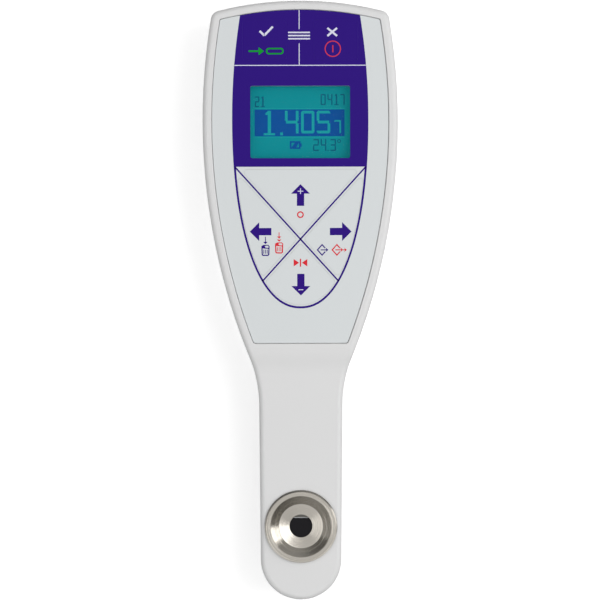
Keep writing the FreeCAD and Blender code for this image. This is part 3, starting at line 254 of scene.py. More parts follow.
class GroupGraph(NodeGraph):
    """The inside of a node group, with its inputs and outputs by name."""

    def __init__(self, name: str, inputs: dict[str, str], outputs: dict[str, str]) -> None:
        """Makes an empty group with its sockets.

        Args:
            name: the group's name.
            inputs: the kind of socket for each input.
            outputs: the kind of socket for each output.
        """
        tree = bpy.data.node_groups.new(name, "ShaderNodeTree")
        for way, sockets in (("INPUT", inputs), ("OUTPUT", outputs)):
            for label, kind in sockets.items():
                tree.interface.new_socket(name=label, in_out=way, socket_type=kind)
        super().__init__(tree)
        self.given = self.add("NodeGroupInput").outputs
        self.wanted = self.add("NodeGroupOutput").inputs


Fill = Callable[[GroupGraph], None]


class Effects:
    """The surface effects that all finishes share, each one a node group made once."""

    VECTOR = "NodeSocketVector"
    COLOUR = "NodeSocketColor"
    NUMBER = "NodeSocketFloat"

    def __init__(self) -> None:
        """Starts with no group made."""
        self.made: dict[str, bpy.types.NodeTree] = {}
        self.reliefs: dict[Grain, Fill] = {
            Grain.SMOOTH: self.smooth,
            Grain.MOULDED: self.moulded,
            Grain.RINGS: self.rings,
            Grain.BRUSHED: self.brushed,
            Grain.WOVEN: self.woven,
        }
        self.masks: dict[Pattern, Fill] = {
            Pattern.TRACKS: self.tracks,
            Pattern.BANDS: self.bands,
            Pattern.STRIPS: self.strips,
            Pattern.BEYOND: self.beyond,
        }

    def group(
        self, name: str, inputs: dict[str, str], outputs: dict[str, str], fill: Fill
    ) -> bpy.types.NodeTree:
        """Makes a group, or gives back the one that was made before.

        Args:
            name: the group's name.
            inputs: the kind of socket for each input.
            outputs: the kind of socket for each output.
            fill: draws the nodes inside the group.

        Returns:
            The node group.
        """
        if name not in self.made:
            inside = GroupGraph(name, inputs, outputs)
            fill(inside)
            self.made[name] = inside.tree
        return self.made[name]

    def mottle(self) -> bpy.types.NodeTree:
        """The slight unevenness of colour and polish that every real surface has.

        Returns:
            A group from a place, a colour, a size and an amount to a colour and a polish factor.
        """
        inputs = {"Place": self.VECTOR, "Colour": self.COLOUR, "Scale": self.NUMBER, "Amount": self.NUMBER}
        return self.group("mottle", inputs, {"Colour": self.COLOUR, "Polish": self.NUMBER}, self.uneven)

    def grain(self, kind: Grain) -> bpy.types.NodeTree:
        """The fine relief of one kind of surface.

        Args:
            kind: which relief.

        Returns:
            A group from a place and a scale to a height.
        """
        inputs = {"Place": self.VECTOR, "Scale": self.NUMBER}
        return self.group(f"grain_{kind.value}", inputs, {"Height": self.NUMBER}, self.reliefs[kind])

    def pattern(self, kind: Pattern) -> bpy.types.NodeTree:
        """Where the second colour of a surface lies.

        Args:
            kind: which pattern.

        Returns:
            A group from a place and a scale to a mask.
        """
        inputs = {"Place": self.VECTOR, "Scale": self.NUMBER}
        return self.group(f"pattern_{kind.value}", inputs, {"Mask": self.NUMBER}, self.masks[kind])

    def uneven(self, inside: GroupGraph) -> None:
        """Draws the mottle: wide clouds with finer ones in them.

        Args:
            inside: the group's nodes.
        """
        finer, fine_share, polish_share = 7.3, 0.35, 2.0
        given = inside.given
        wide = inside.noise(given["Place"], given["Scale"], detail=3.0)
        fine = inside.noise(given["Place"], inside.maths("MULTIPLY", given["Scale"], finer), detail=2.0)
        both = inside.maths(
            "ADD", inside.maths("MULTIPLY", wide, 1 - fine_share), inside.maths("MULTIPLY", fine, fine_share)
        )
        swing = inside.maths("MULTIPLY", inside.maths("SUBTRACT", both, 0.5), given["Amount"])
        scaled = inside.add("ShaderNodeVectorMath", operation="SCALE")
        inside.join(given["Colour"], scaled.inputs[0])
        inside.join(inside.maths("ADD", swing, 1.0), scaled.inputs["Scale"])
        inside.join(scaled.outputs[0], inside.wanted["Colour"])
        polish = inside.maths("ADD", inside.maths("MULTIPLY", swing, polish_share), 1.0)
        inside.join(polish, inside.wanted["Polish"])

    def smooth(self, inside: GroupGraph) -> None:
        """Draws the faint waves of a polished surface.

        Args:
            inside: the group's nodes.
        """
        clouds = inside.noise(inside.given["Place"], inside.given["Scale"], detail=1.0)
        inside.join(clouds, inside.wanted["Height"])

    def moulded(self, inside: GroupGraph) -> None:
        """Draws the round grains that a mould leaves.

        Args:
            inside: the group's nodes.
        """
        cells = inside.add("ShaderNodeTexVoronoi", feature="SMOOTH_F1")
        inside.feed(cells, {"Vector": inside.given["Place"], "Scale": inside.given["Scale"]})
        clouds = inside.noise(inside.given["Place"], inside.given["Scale"], detail=3.0)
        inside.join(inside.maths("ADD", cells.outputs["Distance"], clouds), inside.wanted["Height"])

    def rings(self, inside: GroupGraph) -> None:
        """Draws the fine grooves of a turned surface, round the origin.

        Args:
            inside: the group's nodes.
        """
        x, y, z = inside.split(inside.given["Place"])
        squares = inside.maths("ADD", inside.maths("POWER", x, 2.0), inside.maths("POWER", y, 2.0))
        turned_place = inside.add("ShaderNodeCombineXYZ")
        inside.join(inside.maths("ADD", inside.maths("SQRT", squares), z), turned_place.inputs[0])
        grooves = inside.noise(turned_place.outputs[0], inside.given["Scale"], detail=4.0)
        inside.join(grooves, inside.wanted["Height"])

    def brushed(self, inside: GroupGraph) -> None:
        """Draws fine scratches along Y.

        Args:
            inside: the group's nodes.
        """
        drawn_out = (1.0, 0.04, 1.0)
        place = inside.vector_maths("MULTIPLY", inside.given["Place"], drawn_out)
        inside.join(inside.noise(place, inside.given["Scale"], detail=4.0), inside.wanted["Height"])

    def woven(self, inside: GroupGraph) -> None:
        """Draws two sets of waves that cross.

        Args:
            inside: the group's nodes.
        """
        waves = [inside.wave(inside.given["Place"], inside.given["Scale"], way) for way in ("X", "Y")]
        inside.join(inside.maths("MULTIPLY", *waves), inside.wanted["Height"])

    def tracks(self, inside: GroupGraph) -> None:
        """Masks narrow lines between unequal fields, as on a circuit board.

        Args:
            inside: the group's nodes.
        """
        brick = inside.add("ShaderNodeTexBrick", offset=0.35, squash=0.6, squash_frequency=3)
        given = inside.given
        fixed = {"Mortar Size": 0.05, "Mortar Smooth": 0.0}
        inside.feed(brick, {"Vector": given["Place"], "Scale": given["Scale"], **fixed})
        inside.join(brick.outputs["Fac"], inside.wanted["Mask"])

    def bands(self, inside: GroupGraph) -> None:
        """Masks bands across Y.

        Args:
            inside: the group's nodes.
        """
        least_sine = 0.55
        along = inside.split(inside.given["Place"])[1]
        wave = inside.maths("SINE", inside.maths("MULTIPLY", along, inside.given["Scale"]))
        inside.join(inside.maths("GREATER_THAN", wave, least_sine), inside.wanted["Mask"])

    def strips(self, inside: GroupGraph) -> None:
        """Masks narrow strips side by side along X.

        Args:
            inside: the group's nodes.
        """
        least_height = 0.6
        wave = inside.wave(inside.given["Place"], inside.given["Scale"], "X")
        inside.join(inside.maths("GREATER_THAN", wave, least_height), inside.wanted["Mask"])

    def beyond(self, inside: GroupGraph) -> None:
        """Masks all that lies further along Y than the scale says, where the prism's painted reflection
        goes.

        Args:
            inside: the group's nodes.
        """
        along = inside.split(inside.given["Place"])[1]
        inside.join(inside.maths("GREATER_THAN", along, inside.given["Scale"]), inside.wanted["Mask"])


@dataclass(frozen=True)
class Finish:
    """How one kind of surface looks.

    Attributes:
        name: the finish's name, which is also its slot in the record.
        colour: its screen colour.
        roughness: from mirror to matt.
        metallic: whether it is a metal.
        grain: the kind of fine relief.
        grain_size: the width of the relief in millimetres.
        grain_depth: how strong the relief is.
        mottle: how uneven the colour is.
        coat: how much clear lacquer lies over it.
        alpha: how much of what lies behind it is hidden.
        glow: how much light it gives off by itself.
        shine: how strongly a surface that is no metal mirrors its surroundings.
        pattern: how a second colour shares the surface.
        second: the second colour.
        pattern_scale: the pattern's scale for each millimetre.
        centre: the point in millimetres that rings turn about.
        mottle_scale: how many clouds of uneven colour there are for each millimetre.
        relief_height: the height of the relief as a share of its width.
        coat_roughness: how matt the lacquer is.
    """

    name: str
    colour: Colour
    roughness: float = 0.5
    metallic: float = 0.0
    grain: Grain = Grain.MOULDED
    grain_size: float = 0.35
    grain_depth: float = 0.1
    mottle: float = 0.04
    coat: float = 0.0
    alpha: float = 1.0
    glow: float = 0.0
    shine: float = 0.5
    pattern: Pattern = Pattern.NONE
    second: Colour = (128, 128, 128)
    pattern_scale: float = 1.0
    centre: Point = (0.0, 0.0)
    mottle_scale: float = 0.12
    relief_height: float = 0.25
    coat_roughness: float = 0.08

    def material(self, effects: Effects) -> bpy.types.Material:
        """Makes the finish's material.

        Args:
            effects: the shared effects.

        Returns:
            The new material.
        """
        made = bpy.data.materials.new(self.name)
        made.use_nodes = True
        graph = NodeGraph(made.node_tree)
        shader = graph.add("ShaderNodeBsdfPrincipled")
        place = graph.add("ShaderNodeTexCoord").outputs["Object"]
        place = graph.vector_maths("MULTIPLY", place, (1 / MM, 1 / MM, 1 / MM))
        place = graph.vector_maths("SUBTRACT", place, (self.centre[0], self.centre[1], 0.0))
        mottle = graph.add("ShaderNodeGroup", node_tree=effects.mottle())
        graph.feed(mottle, {
            "Place": place,
            "Colour": self.colours(graph, effects, place),
            "Scale": self.mottle_scale,
            "Amount": self.mottle,
        })
        relief = graph.add("ShaderNodeGroup", node_tree=effects.grain(self.grain))
        graph.feed(relief, {"Place": place, "Scale": 1 / self.grain_size})
        bump = graph.add("ShaderNodeBump")
        graph.feed(bump, {
            "Strength": self.grain_depth,
            "Distance": self.grain_size * MM * self.relief_height,
            "Height": relief.outputs["Height"],
        })
        graph.feed(shader, {
            "Base Color": mottle.outputs["Colour"],
            "Roughness": graph.maths("MULTIPLY", mottle.outputs["Polish"], self.roughness),
            "Normal": bump.outputs["Normal"],
            "Metallic": self.metallic,
            "Specular IOR Level": self.shine,
            "Coat Weight": self.coat,
            "Coat Roughness": self.coat_roughness,
            "Alpha": self.alpha,
        })
        if self.glow > 0:
            graph.feed(shader, {"Emission Color": mottle.outputs["Colour"], "Emission Strength": self.glow})
        output = graph.add("ShaderNodeOutputMaterial")
        graph.join(shader.outputs["BSDF"], output.inputs["Surface"])
        return made

    def colours(self, graph: NodeGraph, effects: Effects, place: bpy.types.NodeSocket) -> object:
        """Gives the plain colour, or both colours where there is a pattern.

        Args:
            graph: the material's nodes.
            effects: the shared effects.
            place: the socket that holds the place in millimetres.

        Returns:
            A colour or an output socket.
        """
        if self.pattern is Pattern.NONE:
            return linear(self.colour)
        mask = graph.add("ShaderNodeGroup", node_tree=effects.pattern(self.pattern))
        graph.feed(mask, {"Place": place, "Scale": self.pattern_scale})
        return graph.mixed(mask.outputs["Mask"], linear(self.colour), linear(self.second))


@dataclass(frozen=True)
class Box:
    """The room that a piece of the assembly takes up, in millimetres.

    Attributes:
        low: its lowest corner.
        high: its highest corner.
    """

    low: Place
    high: Place

    @classmethod
    def around(cls, piece: bpy.types.Object) -> "Box":
        """Measures a piece at rest.

        Args:
            piece: the mesh object, whose mesh holds its place.

        Returns:
            Its box, to a thousandth of a millimetre.
        """
        axes = list(zip(*(vertex.co for vertex in piece.data.vertices)))
        low, high = (tuple(round(pick(axis) / MM, 3) for axis in axes) for pick in (min, max))
        return cls(low, high)

    def middle(self, axis: int) -> float:
        """The box's middle along an axis."""
        return (self.low[axis] + self.high[axis]) / 2

    def size(self, axis: int) -> float:
        """The box's size along an axis."""
        return self.high[axis] - self.low[axis]


@dataclass(frozen=True)
class Layout:
    """Places and sizes on the face, in millimetres, that the prints and the dressing share.

    Attributes:
        film_top_y: the film's upper end.
        film_z: the height of the film's face.
        glass_z: the height of the display's face.
        prism_z: the height of the prism's face.
        cell_y: the middle of the measuring cell.
        window_y: the middle of the window.
        keys_top_y: the upper side of the arrow keys.
        command_x: how far out the middles of the two command keys are.
        command_y: their middle.
        command_width: their width.
        command_height: their height.
        key_corner: the radius of their corners.
        key_gap: the gap round each key.
        window_width: the width of the opening over the display.
        window_height: its height.
        window_corner: the radius of its corners.
        film_end_radius: the radius of the film's round upper end.
        oval_from_top: how far the oval's widest place lies below the film's upper end.
        oval_half_width: half its width there.
        oval_depth: how far it reaches down from there.
        oval_power: how square it is: 2 would be an ellipse.
        field_side_radius: the radius of the coloured field's sides.
        field_margin: how far the field's lower side lies over the arrow keys.
        cross_from_top: how far the crossing of the lines lies below the film's upper end.
        cross_slope: how steep the crossing lines are.
    """

    film_top_y: float
    film_z: float
    glass_z: float
    prism_z: float
    cell_y: float
    window_y: float
    keys_top_y: float
    command_x: float
    command_y: float
    command_width: float
    command_height: float
    key_corner: float = 1.0
    key_gap: float = 0.05
    window_width: float = 35.3
    window_height: float = 25.7
    window_corner: float = 0.8
    film_end_radius: float = 116.6
    oval_from_top: float = 38.1
    oval_half_width: float = 23.95
    oval_depth: float = 66.85
    oval_power: float = 2.2
    field_side_radius: float = 231.0
    field_margin: float = 0.95
    cross_from_top: float = 80.6
    cross_slope: float = 1.105

    @classmethod
    def measured(cls, nodes: dict[str, bpy.types.Object]) -> "Layout":
        """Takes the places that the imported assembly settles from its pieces.

        Args:
            nodes: the assembly's pieces by name.

        Returns:
            The layout.
        """
        film, pad = Box.around(nodes["keypad_overlay"]), Box.around(nodes["key_esc"])
        return cls(
            film_top_y=film.high[1],
            film_z=film.high[2],
            glass_z=Box.around(nodes["lcd_glass"]).high[2],
            prism_z=Box.around(nodes["prism"]).high[2],
            cell_y=Box.around(nodes["cell_ring"]).middle(1),
            window_y=Box.around(nodes["display_window"]).middle(1),
            keys_top_y=Box.around(nodes["key_up"]).high[1],
            command_x=pad.middle(0),
            command_y=pad.middle(1),
            command_width=pad.size(0),
            command_height=pad.size(1),
        )

    @property
    def oval_y(self) -> float:
        """Where the oval is widest."""
        return self.film_top_y - self.oval_from_top

    @property
    def cross_y(self) -> float:
        """Where the two lines cross."""
        return self.film_top_y - self.cross_from_top

    @property
    def field_low_y(self) -> float:
        """The coloured field's lower side."""
        return self.keys_top_y + self.field_margin

    def oval_half(self, y: float, inset: float = 0.0) -> float:
        """Half the oval's width at a height on the face.

        Args:
            y: the height on the face, below the widest place.
            inset: how far the oval is drawn in.

        Returns:
            The half width in millimetres.
        """
        depth = self.oval_depth - inset
        share = min((self.oval_y - y) / depth, 1.0)
        left = max(1 - share**self.oval_power, 0.0)
        return (self.oval_half_width - inset) * left ** (1 / self.oval_power)

    def field_half(self, y: float) -> float:
        """Half the coloured field's width at a height on the face.

        Args:
            y: the height on the face.

        Returns:
            The half width in millimetres.
        """
        if y < self.oval_y:
            return self.oval_half(y)
        radius = self.field_side_radius
        return self.oval_half_width - radius + math.sqrt(radius**2 - (y - self.oval_y) ** 2)


def ink(name: str, colour: Colour, **changes: float) -> Finish:
    """A matt ink as it is printed on the film.

    Args:
        name: the ink's name.
        colour: its screen colour.
        **changes: what is unlike the other inks.

    Returns:
        The ink's finish.
    """
    plain = Finish(name, colour, grain_size=0.16, grain_depth=0.04, shine=0.1)
    return replace(plain, **changes)


def crystal(name: str, colour: Colour, **changes: float) -> Finish:
    """A part of the display, given a glow. The glow stands for the display's backlight, and its strength
    also makes up for the shade of the recess that the display lies in, so part of it is painted light.

    Args:
        name: the finish's name.
        colour: its screen colour.
        **changes: what is unlike the display's other parts.

    Returns:
        The finish.
    """
    plain = Finish(
        # The glow is partly the backlight and partly painted light against the shade of the recess.
        name, colour, roughness=0.4, grain=Grain.WOVEN, grain_size=0.5, grain_depth=0.03, shine=0.1, glow=0.3
    )
    return replace(plain, **changes)


class Finishes:
    """All finishes of the object, with their materials."""

    NODE_SLOTS = {
        "casing": ("front_shell", "rear_shell", "battery_door"),
        "seal": (
            "casing_gasket",
            "door_gasket",
            "cell_gasket",
            "prism_seal",
            "display_gasket",
            "lcd_connectors",
        ),
        "screw_steel": ("casing_screws", "board_screws", "optics_screws", "door_screw"),
        "film": ("keypad_overlay", "key_ok", "key_esc", "key_up", "key_left", "key_right", "key_down"),
        "clear_pane": ("display_window", "lens", "lamp"),
        "polyester": ("keypad_spacer", "keypad_circuit", "sensor_ribbon", "lamp_ribbon"),
        "contact_metal": ("key_domes", "battery_bridge", "battery_terminals", "thermistor"),
        "display_glass": ("lcd_glass",),
        "light_guide": ("lcd_backlight",),
        "white_plastic": ("lcd_holder", "keypad_socket", "sensor_socket"),
        "board": ("main_board", "sensor_board", "lamp_board"),
        "chip": ("processor_chip", "converter_chip", "buzzer", "image_sensor"),
        "dark_window": ("infrared_emitter", "infrared_window"),
        "battery_jacket": ("battery_left", "battery_right"),
        "brass_insert": ("door_insert", "cell_nut"),
        "turned_steel": ("cell_ring",),
        "prism_glass": ("prism",),
        "black_plastic": ("optics_block",),
    }

    def __init__(self, layout: Layout) -> None:
        """Lists the finishes; each material is made when it is first asked for.

        Args:
            layout: the shared places, for finishes that turn about a point.
        """
        self.effects = Effects()
        listed = self.mouldings() + self.metals(layout) + self.glasses(layout) + self.prints()
        self.finishes = {finish.name: finish for finish in listed}
        self.materials: dict[str, bpy.types.Material] = {}

    def mouldings(self) -> list[Finish]:
        """The finishes of moulded pieces, boards and other plain pieces.

        Returns:
            The finishes.
        """
        return [
            Finish("casing", (216, 216, 216), roughness=0.46, grain_size=0.22, grain_depth=0.12,
                   mottle=0.02, shine=0.3),
            Finish("seal", (38, 38, 40), roughness=0.7, grain_size=0.3, grain_depth=0.15),
            Finish("film", (210, 214, 215), grain_size=0.16, grain_depth=0.07, mottle=0.02, shine=0.3),
            Finish("polyester", (214, 214, 208), roughness=0.35, grain=Grain.SMOOTH, grain_size=4.0,
                   pattern=Pattern.STRIPS, second=(186, 184, 176), pattern_scale=0.9),
            Finish("white_plastic", (222, 222, 214), grain_size=0.3),
            Finish("board", (24, 96, 52), roughness=0.35, grain=Grain.WOVEN, grain_size=0.8, coat=0.4,
                   pattern=Pattern.TRACKS, second=(58, 132, 78), pattern_scale=0.35),
            Finish("chip", (40, 40, 42), roughness=0.55, grain_size=0.2, grain_depth=0.2),
            Finish("black_plastic", (34, 34, 36), grain_size=0.3, grain_depth=0.2),
        ]

    def metals(self, layout: Layout) -> list[Finish]:
        """The finishes of metal pieces.

        Args:
            layout: the shared places, for finishes that turn about a point.

        Returns:
            The finishes.
        """
        cell = (0.0, layout.cell_y)
        band_start = (0.0, 30.0)
        return [
            Finish("screw_steel", (170, 170, 172), roughness=0.35, metallic=1.0, grain=Grain.RINGS,
                   grain_size=0.2, grain_depth=0.1),
            Finish("contact_metal", (214, 208, 192), roughness=0.3, metallic=1.0, grain=Grain.BRUSHED,
                   grain_size=0.15, grain_depth=0.1),
            Finish("battery_jacket", (58, 62, 70), roughness=0.3, metallic=0.3, grain=Grain.BRUSHED,
                   grain_size=0.4, grain_depth=0.05, pattern=Pattern.BANDS, second=(190, 120, 60),
                   pattern_scale=0.09, centre=band_start),
            Finish("brass_insert", (214, 176, 104), roughness=0.3, metallic=1.0, grain=Grain.RINGS,
                   grain_size=0.25, grain_depth=0.2, centre=cell),
            Finish("turned_steel", (192, 187, 178), roughness=0.17, metallic=1.0, grain=Grain.RINGS,
                   grain_size=0.3, grain_depth=1.2, mottle=0.06, centre=cell),
        ]

    def glasses(self, layout: Layout) -> list[Finish]:
        """The finishes of glass and other clear or polished pieces.

        Args:
            layout: the shared places, for where the prism's painted reflection lies.

        Returns:
            The finishes.
        """
        painted_reflection_y = 3.0
        return [
            Finish("clear_pane", (10, 60, 64), roughness=0.06, grain=Grain.SMOOTH, grain_size=9.0,
                   grain_depth=0.02, alpha=0.06, shine=0.08),
            crystal("display_glass", (4, 132, 140), roughness=0.35, grain_size=0.6, mottle=0.05),
            Finish("light_guide", (236, 242, 236), roughness=0.25, grain=Grain.SMOOTH, grain_size=3.0,
                   glow=0.3),
            Finish("dark_window", (36, 16, 24), roughness=0.12, grain=Grain.SMOOTH, grain_size=6.0,
                   coat=0.5),
            # Painted light: beyond the bevel line the prism's second colour is a grey that stands for the
            # lit facet seen through the clear prism.
            Finish("prism_glass", (24, 23, 26), roughness=0.08, grain=Grain.SMOOTH, grain_size=5.0,
                   shine=0.12, pattern=Pattern.BEYOND, second=(104, 102, 98), pattern_scale=painted_reflection_y,
                   centre=(0.0, layout.cell_y)),
            # Painted highlight: this bright colour stands for light caught along the prism's bevel edge.
            Finish("bevel_painted_highlight", (196, 198, 200), roughness=0.2, grain=Grain.SMOOTH, grain_size=4.0,
                   coat=0.3),
        ]

    def prints(self) -> list[Finish]:
        """The inks on the film and what the display shows.

        Returns:
            The finishes.
        """
        return [
            ink("blue_ink", (44, 14, 121), roughness=0.48, grain_depth=0.05, shine=0.08),
            ink("white_ink", (214, 214, 230)),
            ink("green_ink", (6, 148, 38)),
            ink("red_ink", (212, 44, 54)),
            ink("red_on_blue", (196, 52, 78)),
            crystal("crystal_dark", (3, 72, 142)),
            crystal("crystal_faint", (2, 84, 112)),
            crystal("crystal_light", (20, 146, 150)),
        ]

    def get(self, name: str) -> bpy.types.Material:
        """Gives the material of a finish.

        Args:
            name: the finish's name.

        Returns:
            Its material.
        """
        if name not in self.materials:
            self.materials[name] = self.finishes[name].material(self.effects)
        return self.materials[name]

    def dress(self, piece: bpy.types.Object, name: str) -> None:
        """Puts one finish on a whole piece.

        Args:
            piece: the mesh object.
            name: the finish's name.
        """
        piece.data.materials.clear()
        piece.data.materials.append(self.get(name))
        LOG.info("%s is dressed in %s", piece.name, name)

    def dress_nodes(self, nodes: dict[str, bpy.types.Object]) -> None:
        """Puts its finish on each piece of the assembly.

        Args:
            nodes: the assembly's pieces by name.
        """
        for slot, names in self.NODE_SLOTS.items():
            for name in names:
                self.dress(nodes[name], slot)
        plain = sorted(set(nodes) - {name for names in self.NODE_SLOTS.values() for name in names})
        LOG.info("pieces without a finish: %s", plain or "none")


def arc_points(centre: Point, radius: float, start: float, end: float, count: int) -> Outline:
    """Points along an arc, both ends included.

    Args:
        centre: the arc's centre.
        radius: its radius.
        start: the direction of its first point in degrees.
        end: the direction of its last point in degrees.
        count: how many steps it has.

    Returns:
        The points in order.
    """
    turns = [math.radians(start + (end - start) * k / count) for k in range(count + 1)]
    return [(centre[0] + radius * math.cos(t), centre[1] + radius * math.sin(t)) for t in turns]


def ring(centre: Point, outer: float, inner: float, count: int) -> list[Outline]:
    """A flat ring.

    Args:
        centre: its middle.
        outer: its outer radius.
        inner: its inner radius.
        count: how many sides it has.

    Returns:
        Its outline and its hole.
    """
    last = 360 - 360 / count
    return [arc_points(centre, radius, 0, last, count - 1) for radius in (outer, inner)]


def rounded(centre: Point, width: float, height: float, corner: float, steps: int = 5) -> Outline:
    """A rectangle with round corners.

    Args:
        centre: its middle.
        width: its width.
        height: its height.
        corner: the radius of its corners.
        steps: how many steps each corner has.

    Returns:
        The closed outline.
    """
    points: Outline = []
    for k, (side, rise) in enumerate(((1, 1), (-1, 1), (-1, -1), (1, -1))):
        middle = (centre[0] + side * (width / 2 - corner), centre[1] + rise * (height / 2 - corner))
        points += arc_points(middle, corner, 90 * k, 90 * k + 90, steps)
    return points


def rectangle(low: Point, high: Point) -> Outline:
    """A plain rectangle between two corners.

    Args:
        low: the corner with the lower values.
        high: the corner with the higher values.

    Returns:
        The closed outline.
    """
    return [low, (high[0], low[1]), high, (low[0], high[1])]


def block(centre: Point, half_width: float, half_height: float) -> Outline:
    """A plain rectangle round its middle.

    Args:
        centre: its middle.
        half_width: half its width.
        half_height: half its height.

    Returns:
        The closed outline.
    """
    x, y = centre
    return rectangle((x - half_width, y - half_height), (x + half_width, y + half_height))


def bar(first: Point, last: Point, width: float) -> Outline:
    """A straight bar between two points.

    Args:
        first: the middle of one end.
        last: the middle of the other end.
        width: the bar's width.

    Returns:
        The closed outline.
    """
    run, rise = last[0] - first[0], last[1] - first[1]
    length = math.hypot(run, rise)
    aside = (-rise / length * width / 2, run / length * width / 2)
    return [
        (first[0] - aside[0], first[1] - aside[1]),
        (last[0] - aside[0], last[1] - aside[1]),
        (last[0] + aside[0], last[1] + aside[1]),
        (first[0] + aside[0], first[1] + aside[1]),
    ]


def turned(points: Outline, direction: Point, place: Point) -> Outline:
    """Turns an outline drawn along +Y into another direction and moves it.

    Args:
        points: the outline.
        direction: the unit direction that +Y becomes.
        place: where the outline's origin goes.

    Returns:
        The new outline.
    """
    along, across = direction, (direction[1], -direction[0])
    return [
        (place[0] + x * across[0] + y * along[0], place[1] + x * across[1] + y * along[1])
        for x, y in points
    ]


@dataclass(frozen=True)
class Sheet:
    """Builds thin flat pieces and hangs them on the bodies of the assembly.

    Attributes:
        finishes: the finishes that pieces are dressed in.
        slot: a slot's name, which is kept but not used.
        base_z: the height of the face that the pieces lie on, in millimetres.
        thickness: how thick a piece is.
    """

    finishes: Finishes
    slot: str
    base_z: float
    thickness: float = 0.02

    def lay(
        self,
        name: str,
        shapes: Iterable[Sequence[Outline]],
        finish: str,
        body: str = "housing",
        under: int = 0,
    ) -> None:
        """Lays one piece of flat shapes on the face.

        Args:
            name: the piece's name.
            shapes: for each shape its outline and then its holes.
            finish: the finish that it is dressed in.
            body: the body that the piece rides on.
            under: how many other pieces lie under it.
        """
        mesh_form = bmesh.new()
        low = self.base_z + under * self.thickness
        for loops in shapes:
            edges = []
            for points in loops:
                corners = [mesh_form.verts.new((x * MM, y * MM, low * MM)) for x, y in points]
                sides = zip(corners, corners[1:] + corners[:1])
                edges += [mesh_form.edges.new(pair) for pair in sides]
            bmesh.ops.triangle_fill(mesh_form, use_beauty=True, edges=edges, normal=(0.0, 0.0, 1.0))
        self.thicken(mesh_form)
        self.hang(name, mesh_form, finish, body)

    def thicken(self, mesh_form: bmesh.types.BMesh) -> None:
        """Raises closed solids from flat faces.

        Args:
            mesh_form: the mesh, with only flat faces in it.
        """
        grown = bmesh.ops.extrude_face_region(mesh_form, geom=list(mesh_form.faces))["geom"]
        raised = [item for item in grown if isinstance(item, bmesh.types.BMVert)]
        bmesh.ops.translate(mesh_form, verts=raised, vec=(0.0, 0.0, self.thickness * MM))
        bmesh.ops.recalc_face_normals(mesh_form, faces=list(mesh_form.faces))

    def hang(self, name: str, mesh_form: bmesh.types.BMesh, finish: str, body: str) -> None:
        """Turns a built mesh into a dressed piece that rides on a body.

        Args:
            name: the piece's name.
            mesh_form: the built mesh, which is freed.
            finish: the finish that it is dressed in.
            body: the body that the piece rides on.
        """
        mesh = bpy.data.meshes.new(name)
        mesh_form.to_mesh(mesh)
        mesh_form.free()
        piece = bpy.data.objects.new(name, mesh)
        bpy.context.scene.collection.objects.link(piece)
        self.finishes.dress(piece, finish)
        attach(piece, body)
        LOG.info("%s rides on %s", name, body)


